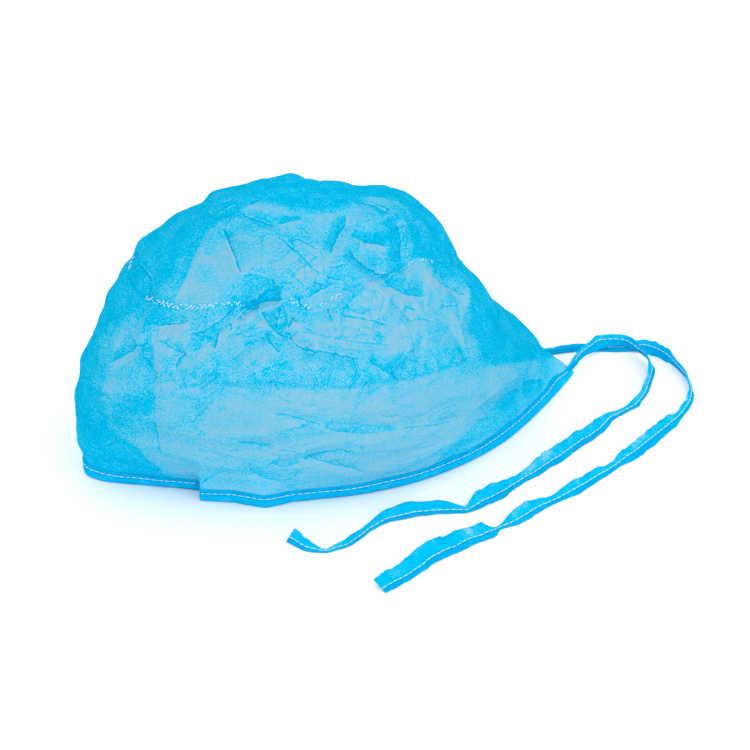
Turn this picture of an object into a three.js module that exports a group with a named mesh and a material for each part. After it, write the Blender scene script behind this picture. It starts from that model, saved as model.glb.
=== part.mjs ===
// Surgical cap of thin non-woven cloth, standing on its rim with its ties laid out on the table.
// Millimetres, +Z up: the front is at -X, the back opening and the ties are at +X.
// Angles on the cloth run in degrees: 0 back, 90 far side, 180 front, 270 near side.
// Levels on the cloth count the rows of SHAPE_ROWS: 0 rim, 3 about the crown seam, 6 crown top.

import * as THREE from 'three';
import { mergeVertices } from 'three/addons/utils/BufferGeometryUtils.js';

// Cloth, gaps and sewn edges
const CLOTH_WALL = 1.0;
const SEWN_GAP = 0.3;
const BINDING_HEIGHT = 8.5;
const BINDING_PROUD = 0.6;
const BINDING_DEPTH = 2.2;

// Back opening between the two ends of the binding
const FAR_END = 26;
const NEAR_END = 348;
const OPENING_RISE = 24;
const OPENING_ROUNDNESS = 0.6;

// Ties: a flat folded strip
const TIE_WIDTH = 9;
const TIE_THICKNESS = 1.6;
const TIE_SIDES = 8;
const TIE_STEPS = 60;

// Facets along each piece
const OPENING_COLUMNS = 10;
const RIM_COLUMNS = 82;
const PANEL_ROWS = 10;
const CROWN_ROWS = 9;
const BINDING_ROWS = 2;

// The cap's form from rim to top, one row for each level
const SHAPE_COLUMNS = ['zFront', 'zBack', 'xFront', 'xBack', 'halfWidth', 'taper', 'point'];
const SHAPE_ROWS = [
  [0, 0, -136, 140, 76, 0.07, 0.60],
  [34, 25, -137, 117, 83, 0.06, 0.35],
  [66, 52, -128, 92, 77, 0.05, 0.15],
  [101, 83, -107, 69, 61, 0.03, 0.05],
  [120, 104, -85, 55, 49, 0.02, 0],
  [131, 121, -54, 32, 30, 0, 0],
  [132, 132, -17, -17, 0, 0, 0],
];
const TOP_LEVEL = SHAPE_ROWS.length - 1;

// The crown seam wanders up and down round the cap
const SEAM_COLUMNS = ['angle', 'level'];
const SEAM_ROWS = [
  [0, 3.15],
  [45, 3.30],
  [90, 3.45],
  [135, 3.20],
  [180, 3.00],
  [225, 3.20],
  [262, 3.40],
  [300, 3.80],
  [335, 3.15],
];
const SEAM_PINCH = 1.4;
const SEAM_PINCH_LEVELS = 0.16;
const GATHER_COUNT = 21;
const GATHER_DEPTH = 1.6;
const GATHER_LEVELS = 0.45;

// Where the soft rim stands out or in, each row a wave at one angle
const RIM_WAVE_COLUMNS = ['angle', 'spread', 'out'];
const RIM_WAVE_ROWS = [
  [240, 12, 6.0],
  [222, 6, -2.0],
  [196, 8, -1.5],
  [300, 14, 1.5],
  [322, 8, -1.5],
  [120, 15, 3.5],
  [142, 8, -2.0],
  [66, 13, 2.5],
];
const RIM_FADE_LEVELS = 0.9;

// Main folds of the cloth, each from one place to another: a depth below zero is a ridge
const FOLD_COLUMNS = ['fromAngle', 'fromLevel', 'toAngle', 'toLevel', 'width', 'depth'];
const FOLD_ROWS = [
  // Near side, crown
  [205, 4.60, 229, 3.65, 6, 3.0],
  [234, 4.70, 260, 3.85, 6, 2.5],
  [279, 5.15, 262, 4.30, 6, 2.5],
  [272, 4.40, 288, 3.80, 9, 4.0],
  [233, 3.15, 247, 3.60, 9, 5.5],
  [320, 4.60, 312, 3.70, 8, 2.5],
  // Near side, panel
  [241, 3.05, 254, 2.70, 8, 5.0],
  [207, 2.60, 216, 1.15, 9, 4.0],
  [225, 1.50, 231, 1.95, 6, 2.0],
  [246, 1.85, 274, 1.35, 7, 3.0],
  [274, 1.35, 290, 1.10, 7, 3.0],
  [246, 0.95, 263, 1.15, 7, 2.5],
  [265, 2.85, 285, 2.80, 8, 4.0],
  [300, 3.00, 316, 2.25, 9, 4.5],
  // Near side, tuck
  [221, 2.05, 245, 2.35, 5, -2.0],
  [245, 2.35, 277, 2.20, 5, -2.0],
  [277, 2.20, 303, 2.20, 5, -1.6],
  // Far side, crown
  [152, 4.60, 130, 3.70, 6, 3.0],
  [118, 4.90, 100, 3.90, 6, 2.8],
  [82, 4.40, 64, 3.70, 9, 4.0],
  [127, 3.15, 112, 3.60, 9, 5.0],
  [48, 4.70, 38, 3.70, 8, 2.5],
  // Far side, panel
  [120, 3.00, 106, 2.65, 7, 4.0],
  [150, 2.70, 141, 1.20, 9, 4.0],
  [96, 2.90, 72, 2.55, 8, 4.0],
  [112, 1.75, 86, 1.40, 7, 3.0],
  [60, 2.80, 46, 1.90, 9, 4.5],
  [76, 0.95, 58, 1.20, 7, 2.5],
  // Far side, tuck
  [138, 2.05, 112, 2.30, 5, -2.0],
  [112, 2.30, 82, 2.20, 5, -1.8],
  [82, 2.20, 56, 2.15, 5, -1.6],
  // Front and back
  [178, 2.80, 187, 1.40, 9, 4.0],
  [168, 1.90, 163, 0.80, 8, 3.0],
  [192, 3.20, 176, 3.90, 8, 3.0],
  [12, 3.40, 2, 2.30, 8, 3.0],
  [338, 3.00, 346, 2.00, 8, 3.0],
  [28, 2.60, 22, 1.70, 7, 2.5],
  // Crown top
  [60, 5.20, 130, 5.30, 8, 2.5],
  [330, 5.40, 250, 5.30, 8, 2.0],
  [195, 5.20, 170, 5.50, 8, 2.0],
];
const FOLD_PIECES = 4;

// Folds push the cloth straight out from this axis, and more upwards above the given height
const PUSH_CENTRE_X = -15;
const PUSH_LEVEL_Z = 45;

// Where each tie lies, from its sewn end to its free end
const TIE_COLUMNS = ['x', 'y', 'z'];
const NEAR_TIE_ROWS = [
  [147, 3, 3.4],
  [161, 9, 3.8],
  [169, 9, 3.8],
  [176, 6, 3.8],
  [178, -3, 3.8],
  [178, -12, 3.6],
  [175, -24, 2.4],
  [168, -33, 1.4],
  [158, -44, 1.2],
  [149, -51, 1.2],
  [141, -54, 1.2],
  [129, -58, 1.2],
  [118, -66, 1.2],
  [101, -74, 1.2],
  [80, -84, 1.2],
  [60, -92, 1.2],
  [42, -100, 1.2],
  [30, -104, 1.2],
  [22, -106, 1.2],
  [13, -102, 1.2],
  [4, -99, 1.2],
  [-6, -98, 1.2],
  [-16, -97, 1.2],
  [-27, -101, 1.2],
  [-43, -110, 1.2],
  [-54, -111, 1.2],
  [-61, -105, 1.2],
  [-65, -95, 1.2],
];
const FAR_TIE_ROWS = [
  [138, 17, 1.2],
  [150, 16, 1.2],
  [161, 12, 1.2],
  [171, 8, 1.2],
  [178, 5, 1.2],
  [185, -1, 1.2],
  [189, -10, 1.2],
  [190, -23, 1.2],
  [188, -39, 1.2],
  [182, -53, 1.2],
  [175, -62, 1.2],
  [165, -70, 1.2],
  [156, -76, 1.2],
  [145, -82, 1.2],
  [131, -90, 1.2],
  [117, -97, 1.2],
  [109, -100, 1.2],
  [99, -104, 1.2],
  [79, -112, 1.2],
  [62, -117, 1.2],
  [49, -121, 1.2],
  [38, -125, 1.2],
  [29, -127, 1.2],
  [22, -129, 1.2],
  [12, -130, 1.2],
  [0, -133, 1.2],
  [-16, -138, 1.2],
  [-31, -145, 1.2],
  [-44, -150, 1.2],
];

const CLOTH_BLUE = 0x69c9ec;
const BINDING_BLUE = 0x08b2ee;
const TIE_BLUE = 0x14bcf2;
const CLOTH_ROUGHNESS = 0.85;

const radians = THREE.MathUtils.degToRad;

function named(columns, rows) {
  return rows.map((row) => Object.fromEntries(columns.map((name, k) => [name, row[k]])));
}

const shape = named(SHAPE_COLUMNS, SHAPE_ROWS);
const seam = named(SEAM_COLUMNS, SEAM_ROWS);
const rimWaves = named(RIM_WAVE_COLUMNS, RIM_WAVE_ROWS);
const folds = named(FOLD_COLUMNS, FOLD_ROWS);

// The row that the shape would have just past its top, on the other side
const belowTop = shape[TOP_LEVEL - 1];
const top = shape[TOP_LEVEL];
const pastTop = {
  zFront: belowTop.zBack,
  zBack: belowTop.zFront,
  xFront: 2 * top.xFront - belowTop.xFront,
  xBack: 2 * top.xBack - belowTop.xBack,
  halfWidth: -belowTop.halfWidth,
  taper: 0,
  point: 0,
};

function catmull(p0, p1, p2, p3, t) {
  const linear = (p2 - p0) * t;
  const square = (2 * p0 - 5 * p1 + 4 * p2 - p3) * t * t;
  const cube = (3 * p1 - p0 - 3 * p2 + p3) * t * t * t;
  return p1 + 0.5 * (linear + square + cube);
}

function shapeAt(level) {
  const k = Math.min(Math.max(Math.floor(level), 0), TOP_LEVEL - 1);
  const [p1, p2] = [shape[k], shape[k + 1]];
  const p3 = k + 2 > TOP_LEVEL ? pastTop : shape[k + 2];
  const row = {};
  for (const name of SHAPE_COLUMNS) {
    const p0 = k === 0 ? 2 * p1[name] - p2[name] : shape[k - 1][name];
    row[name] = catmull(p0, p1[name], p2[name], p3[name], level - k);
  }
  return row;
}

// The smooth form, without folds
function smoothPoint(angle, level) {
  const row = shapeAt(level);
  const c = Math.cos(radians(angle));
  const s = Math.sin(radians(angle));
  const x = (row.xFront + row.xBack) / 2 + ((row.xBack - row.xFront) / 2) * c;
  const y = row.halfWidth * s * (1 - row.taper * c - row.point * c * c);
  const z = row.zFront + ((row.zBack - row.zFront) * (1 + c)) / 2;
  return new THREE.Vector3(x, y, z);
}

function angleBetween(a, b) {
  return ((((a - b + 180) % 360) + 360) % 360) - 180;
}

function seamLevel(angle) {
  const turn = ((angle % 360) + 360) % 360;
  const count = seam.length;
  let k = count - 1;
  while (seam[k].angle > turn) k -= 1;
  const start = seam[k];
  const end = seam[(k + 1) % count];
  const span = k + 1 < count ? end.angle - start.angle : 360 - start.angle;
  const t = (turn - start.angle) / span;
  const before = seam[(k + count - 1) % count].level;
  const after = seam[(k + 2) % count].level;
  return catmull(before, start.level, end.level, after, t);
}

const foldLines = folds.map((fold) => {
  const points = [];
  for (let k = 0; k <= FOLD_PIECES; k += 1) {
    const t = k / FOLD_PIECES;
    const angle = fold.fromAngle + (fold.toAngle - fold.fromAngle) * t;
    const level = fold.fromLevel + (fold.toLevel - fold.fromLevel) * t;
    points.push(smoothPoint(angle, level));
  }
  return points;
});

function distanceToLine(point, line) {
  const nearest = new THREE.Vector3();
  let best = Infinity;
  for (let k = 0; k < line.length - 1; k += 1) {
    new THREE.Line3(line[k], line[k + 1]).closestPointToPoint(point, true, nearest);
    best = Math.min(best, nearest.distanceTo(point));
  }
  return best;
}

function bell(value, spread) {
  return Math.exp(-((value / spread) ** 2));
}

// How far the cloth stands out from the smooth form
function standOut(angle, level, point) {
  const fromSeam = level - seamLevel(angle);
  let out = -SEAM_PINCH * bell(fromSeam, SEAM_PINCH_LEVELS);
  const gather = 0.5 - 0.5 * Math.cos(radians(GATHER_COUNT * angle));
  out -= GATHER_DEPTH * gather * bell(fromSeam, GATHER_LEVELS);
  for (const wave of rimWaves) {
    out += wave.out * bell(angleBetween(angle, wave.angle), wave.spread) * bell(level, RIM_FADE_LEVELS);
  }
  folds.forEach((fold, k) => {
    out -= fold.depth * bell(distanceToLine(point, foldLines[k]), fold.width);
  });
  return out;
}

// The folded cloth
function clothPoint(angle, level) {
  const point = smoothPoint(angle, level);
  const rise = Math.max(0, point.z - PUSH_LEVEL_Z);
  const push = new THREE.Vector3(point.x - PUSH_CENTRE_X, point.y, rise).normalize();
  return point.addScaledVector(push, standOut(angle, level, point));
}

function clothNormal(angle, level) {
  const stepAngle = 0.5;
  const stepLevel = 0.02;
  const round = clothPoint(angle + stepAngle, level).sub(clothPoint(angle - stepAngle, level));
  const up = clothPoint(angle, level + stepLevel).sub(clothPoint(angle, level - stepLevel));
  return round.cross(up).normalize();
}

function levelAtHeight(angle, height) {
  let low = 0;
  let high = 2;
  for (let k = 0; k < 40; k += 1) {
    const middle = (low + high) / 2;
    if (smoothPoint(angle, middle).z < height) low = middle;
    else high = middle;
  }
  return low;
}

// How far along the back opening an angle lies, from 0 at its near end to 1 at its far end
function openingShare(angle) {
  return (angle - (NEAR_END - 360)) / (FAR_END - (NEAR_END - 360));
}

function panelEdgeHeight(angle) {
  const share = openingShare(angle > 180 ? angle - 360 : angle);
  const inside = share > 0 && share < 1;
  const arch = inside ? Math.sin(Math.PI * share) ** OPENING_ROUNDNESS : 0;
  return BINDING_HEIGHT + SEWN_GAP + OPENING_RISE * arch;
}

// Columns of cloth round the cap: close together in the back opening, even round the rest
function spread(from, to, count) {
  return Array.from({ length: count }, (_, k) => from + ((to - from) * k) / count);
}
const rimAngles = spread(FAR_END, NEAR_END, RIM_COLUMNS);
const ringAngles = [...rimAngles, ...spread(NEAR_END, FAR_END + 360, OPENING_COLUMNS)].map((a) => a % 360);

// One closed body from the faces of a list of points
function solid(points, faces) {
  const geometry = new THREE.BufferGeometry();
  geometry.setAttribute('position', new THREE.Float32BufferAttribute(points.flatMap((p) => p.toArray()), 3));
  geometry.setIndex(faces.flat());
  geometry.computeVertexNormals();
  return geometry;
}

// Two skins of rows and columns, outer first, joined along their edges into a wall
function wall(outer, inner, { ring, poles }) {
  const rows = outer.length;
  const columns = outer[0].length;
  const points = [...outer.flat(), ...inner.flat()];
  const innerStart = rows * columns;
  const faces = [];
  const quad = (a, b, c, d) => faces.push([a, b, c], [a, c, d]);
  const out = (i, j) => i * columns + (j % columns);
  const inn = (i, j) => innerStart + i * columns + (j % columns);
  const last = ring ? columns : columns - 1;
  for (let j = 0; j < last; j += 1) {
    for (let i = 0; i < rows - 1; i += 1) {
      quad(out(i, j), out(i, j + 1), out(i + 1, j + 1), out(i + 1, j));
      quad(inn(i, j), inn(i + 1, j), inn(i + 1, j + 1), inn(i, j + 1));
    }
    quad(out(0, j), inn(0, j), inn(0, j + 1), out(0, j + 1));
    if (!poles) quad(out(rows - 1, j), out(rows - 1, j + 1), inn(rows - 1, j + 1), inn(rows - 1, j));
  }
  if (poles) {
    points.push(...poles);
    const outerPole = points.length - 2;
    for (let j = 0; j < columns; j += 1) {
      faces.push([out(rows - 1, j), out(rows - 1, j + 1), outerPole]);
      faces.push([inn(rows - 1, j + 1), inn(rows - 1, j), outerPole + 1]);
    }
  }
  if (!ring) {
    for (let i = 0; i < rows - 1; i += 1) {
      quad(out(i, 0), out(i + 1, 0), inn(i + 1, 0), inn(i, 0));
      quad(out(i, last), inn(i, last), inn(i + 1, last), out(i + 1, last));
    }
  }
  return solid(points, faces);
}

// Skins of a cloth wall between a lower and an upper level at each angle.
// A level foot keeps the wall's lower edge flat, and an open top leaves out the row at the pole.
function clothSkins(angles, rows, lowLevel, highLevel, { levelFoot, openTop }) {
  const outer = [];
  const inner = [];
  for (let i = 0; i < rows + (openTop ? 0 : 1); i += 1) {
    const outerRow = [];
    const innerRow = [];
    for (const angle of angles) {
      const level = lowLevel(angle) + ((highLevel(angle) - lowLevel(angle)) * i) / rows;
      const point = clothPoint(angle, level);
      const normal = clothNormal(angle, level);
      if (levelFoot && i === 0) normal.setZ(0).normalize();
      outerRow.push(point);
      innerRow.push(point.clone().addScaledVector(normal, -CLOTH_WALL));
    }
    outer.push(outerRow);
    inner.push(innerRow);
  }
  return { outer, inner };
}

// Half of the sewn gap, counted in levels at the crown seam
function seamHalfGap(angle) {
  const level = seamLevel(angle);
  const levelLength = smoothPoint(angle, level + 0.5).distanceTo(smoothPoint(angle, level - 0.5));
  return SEWN_GAP / 2 / levelLength;
}

function sidePanel() {
  const low = (angle) => levelAtHeight(angle, panelEdgeHeight(angle));
  const high = (angle) => seamLevel(angle) - seamHalfGap(angle);
  const { outer, inner } = clothSkins(ringAngles, PANEL_ROWS, low, high, { levelFoot: true });
  return wall(outer, inner, { ring: true });
}

function crown() {
  const low = (angle) => seamLevel(angle) + seamHalfGap(angle);
  const { outer, inner } = clothSkins(ringAngles, CROWN_ROWS, low, () => TOP_LEVEL, { openTop: true });
  const pole = clothPoint(0, TOP_LEVEL);
  const poles = [pole, pole.clone().setZ(pole.z - CLOTH_WALL)];
  return wall(outer, inner, { ring: true, poles });
}

// The folded binding: an open band with a flat foot that follows the rim
function binding() {
  const angles = [...rimAngles, NEAR_END];
  const outer = [];
  const inner = [];
  for (let i = 0; i <= BINDING_ROWS; i += 1) {
    const outerRow = [];
    const innerRow = [];
    for (const angle of angles) {
      const level = levelAtHeight(angle, (BINDING_HEIGHT * i) / BINDING_ROWS);
      const sideways = clothNormal(angle, Math.max(level, 0.1)).setZ(0).normalize();
      const point = clothPoint(angle, level).setZ((BINDING_HEIGHT * i) / BINDING_ROWS);
      outerRow.push(point.clone().addScaledVector(sideways, BINDING_PROUD));
      innerRow.push(point.clone().addScaledVector(sideways, BINDING_PROUD - BINDING_DEPTH));
    }
    outer.push(outerRow);
    inner.push(innerRow);
  }
  return wall(outer, inner, { ring: false });
}

// A tie: the flat strip swept along its route, from just clear of the binding's end face
function tie(endAngle, rows) {
  const beforeEnd = endAngle === NEAR_END ? endAngle - 1 : endAngle + 1;
  const [first, ...rest] = named(TIE_COLUMNS, rows).map(({ x, y, z }) => new THREE.Vector3(x, y, z));
  const level = levelAtHeight(endAngle, first.z - TIE_THICKNESS / 2);
  const end = clothPoint(endAngle, level).setZ(first.z);
  const along = clothPoint(endAngle, level).sub(clothPoint(beforeEnd, level)).setZ(0).normalize();
  const start = end.addScaledVector(along, SEWN_GAP);
  const route = [start, first, ...rest];
  const section = new THREE.Shape();
  for (let k = 0; k < TIE_SIDES; k += 1) {
    const turn = ((k + 0.5) / TIE_SIDES) * 2 * Math.PI;
    const corner = 1 / Math.cos(Math.PI / TIE_SIDES);
    const x = (TIE_THICKNESS / 2) * corner * Math.cos(turn);
    const y = (TIE_WIDTH / 2) * corner * Math.sin(turn);
    if (k === 0) section.moveTo(x, y);
    else section.lineTo(x, y);
  }
  section.closePath();
  const extrudePath = new THREE.CatmullRomCurve3(route);
  const strip = new THREE.ExtrudeGeometry(section, { steps: TIE_STEPS, extrudePath, bevelEnabled: false });
  strip.deleteAttribute('normal');
  strip.deleteAttribute('uv');
  return mergeVertices(strip);
}

function piece(name, geometry, color) {
  const material = new THREE.MeshStandardMaterial({ color, roughness: CLOTH_ROUGHNESS, metalness: 0 });
  const mesh = new THREE.Mesh(geometry, material);
  mesh.name = name;
  return mesh;
}

const cap = new THREE.Group();
cap.add(piece('crown', crown(), CLOTH_BLUE));
cap.add(piece('side_panel', sidePanel(), CLOTH_BLUE));
cap.add(piece('binding', binding(), BINDING_BLUE));
cap.add(piece('tie_near', tie(NEAR_END, NEAR_TIE_ROWS), TIE_BLUE));
cap.add(piece('tie_far', tie(FAR_END, FAR_TIE_ROWS), TIE_BLUE));

export default cap;
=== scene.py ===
"""A thin non-woven surgical cap on a pale table: crumpled cloth, a stitched binding and two ties."""

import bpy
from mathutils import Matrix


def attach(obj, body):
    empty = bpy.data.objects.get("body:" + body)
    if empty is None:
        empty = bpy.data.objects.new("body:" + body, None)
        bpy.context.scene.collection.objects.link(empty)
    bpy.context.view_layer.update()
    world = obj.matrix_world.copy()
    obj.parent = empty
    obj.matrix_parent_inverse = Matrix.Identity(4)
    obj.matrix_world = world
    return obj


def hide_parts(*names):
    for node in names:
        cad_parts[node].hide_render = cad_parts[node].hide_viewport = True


bl_info = {
    "name": "Surgical Cap",
    "version": (1, 0, 0),
    "blender": (4, 5, 0),
    "location": "View3D > Sidebar > Surgical Cap",
    "description": "Builds a crumpled non-woven surgical cap with its binding, ties and stitches",
    "category": "Add Mesh",
}

import math

import bpy
import numpy as np
from bpy.props import FloatProperty, FloatVectorProperty, IntProperty, PointerProperty
from mathutils import Vector
from mathutils.geometry import delaunay_2d_cdt

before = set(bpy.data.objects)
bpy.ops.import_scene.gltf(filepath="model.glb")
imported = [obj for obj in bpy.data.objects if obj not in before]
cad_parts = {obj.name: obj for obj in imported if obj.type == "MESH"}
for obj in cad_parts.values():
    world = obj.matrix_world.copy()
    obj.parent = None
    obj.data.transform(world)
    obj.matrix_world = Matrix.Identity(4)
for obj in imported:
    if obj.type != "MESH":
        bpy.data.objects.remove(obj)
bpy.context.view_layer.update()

# Tables are in millimetres and degrees, as a pattern cutter would note them, and meshes in metres.
MM = 0.001
BODY = "root"

# Places on the cloth: angle 0 is the back, 90 the far side, 180 the front, 270 the near side,
# and level 0 is the rim, about 3 the crown seam and 6 the crown top.
# Each row of the smooth form is a level: z_front, z_back, x_front, x_back, half_width, taper, point.
SHAPE_ROWS = (
    (0, 0, -136, 140, 76, 0.07, 0.60),
    (34, 25, -137, 117, 83, 0.06, 0.35),
    (66, 52, -128, 92, 77, 0.05, 0.15),
    (101, 83, -107, 69, 61, 0.03, 0.05),
    (120, 104, -85, 55, 49, 0.02, 0),
    (131, 121, -54, 32, 30, 0, 0),
    (132, 132, -17, -17, 0, 0, 0),
)
TOP_LEVEL = len(SHAPE_ROWS) - 1

# The crown seam's level at each angle
SEAM_ROWS = (
    (0, 3.15), (45, 3.30), (90, 3.45), (135, 3.20), (180, 3.00), (206, 3.00), (221, 3.12),
    (232, 3.30), (241, 3.44), (249, 3.40), (258, 3.24), (265, 3.42), (273, 3.64), (285, 3.77),
    (302, 3.86), (316, 3.66), (335, 3.15),
)
SEAM_PINCH = 1.2
SEAM_PINCH_LEVELS = 0.16
GATHER_COUNT = 21
GATHER_DEPTH = 1.1
GATHER_LEVELS = 0.45

# How far the soft rim stands out or in at each angle
RIM_ROWS = (
    (0, 0.0), (40, 0.5), (66, 2.5), (92, 0.5), (120, 3.5), (142, -2.0), (158, -1.0), (175, -1.5),
    (194, -5.0), (207, -8.6), (218, -10.0), (225.5, -9.4), (228, 0.8), (235, 0.0), (242, 3.8),
    (247, -2.0), (253, -3.6), (266, -3.8), (281, -2.4), (300, 1.0), (322, 0.8), (345, 0.5),
    (360, 0.0),
)
RIM_FADE_LEVELS = 0.6

# Main folds, each from one place on the cloth to another: a depth below zero is a ridge
FOLD_COLUMNS = ("from_angle", "from_level", "to_angle", "to_level", "width", "depth")
FOLD_ROWS = (
    # Near side, crown
    (205, 4.60, 229, 3.65, 6, 3.0),
    (234, 4.70, 260, 3.85, 6, 2.5),
    (279, 5.15, 262, 4.30, 6, 2.5),
    (272, 4.40, 288, 3.80, 9, 4.0),
    (233, 3.15, 247, 3.60, 9, 5.5),
    (320, 4.60, 312, 3.70, 8, 2.5),
    # Near side, panel
    (241, 3.05, 254, 2.70, 8, 5.0),
    (207, 2.60, 216, 1.15, 9, 4.0),
    (225, 1.50, 231, 1.95, 6, 2.0),
    (246, 1.85, 274, 1.35, 7, 1.5),
    (274, 1.35, 290, 1.10, 7, 1.5),
    (246, 0.95, 263, 1.15, 7, 2.5),
    (265, 2.85, 285, 2.80, 8, 4.0),
    (300, 3.00, 316, 2.25, 9, 4.5),
    # Near side, tuck
    (221, 2.05, 245, 2.35, 5, -2.0),
    (245, 2.35, 277, 2.20, 5, -2.0),
    (277, 2.20, 303, 2.20, 5, -1.6),
    # Far side, crown
    (152, 4.60, 130, 3.70, 6, 3.0),
    (118, 4.90, 100, 3.90, 6, 2.8),
    (82, 4.40, 64, 3.70, 9, 4.0),
    (127, 3.15, 112, 3.60, 9, 5.0),
    (48, 4.70, 38, 3.70, 8, 2.5),
    # Far side, panel
    (120, 3.00, 106, 2.65, 7, 4.0),
    (150, 2.70, 141, 1.20, 9, 4.0),
    (96, 2.90, 72, 2.55, 8, 4.0),
    (112, 1.75, 86, 1.40, 7, 3.0),
    (60, 2.80, 46, 1.90, 9, 4.5),
    (76, 0.95, 58, 1.20, 7, 2.5),
    # Far side, tuck
    (138, 2.05, 112, 2.30, 5, -2.0),
    (112, 2.30, 82, 2.20, 5, -1.8),
    (82, 2.20, 56, 2.15, 5, -1.6),
    # Front and back
    (178, 2.80, 187, 1.40, 9, 4.0),
    (168, 1.90, 163, 0.80, 8, 3.0),
    (192, 3.20, 176, 3.90, 8, 3.0),
    (12, 3.40, 2, 2.30, 8, 3.0),
    (338, 3.00, 346, 2.00, 8, 3.0),
    (333, 2.00, 351, 0.80, 9, 11.0),
    # Swells and hollows of the outline
    (128, 4.50, 92, 5.00, 12, -9.0),
    (72, 4.95, 38, 4.90, 12, 6.0),
    (14, 4.60, 0, 4.10, 8, -5.0),
    (354, 3.00, 357, 2.20, 10, 10.0),
    (156, 3.00, 153, 3.30, 7, -5.0),
    (158, 2.70, 161, 2.10, 9, 7.0),
    (163, 1.90, 168, 1.30, 9, -3.5),
    (28, 2.60, 22, 1.70, 7, 2.5),
    # Crown top
    (60, 5.20, 130, 5.30, 8, 2.5),
    (330, 5.40, 250, 5.30, 8, 2.0),
    (195, 5.20, 170, 5.50, 8, 2.0),
)
FOLD_PIECES = 4
FOLD_SHARE = 0.4
FOLD_REACH = 5
FOLD_VALLEY = 0.9

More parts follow.
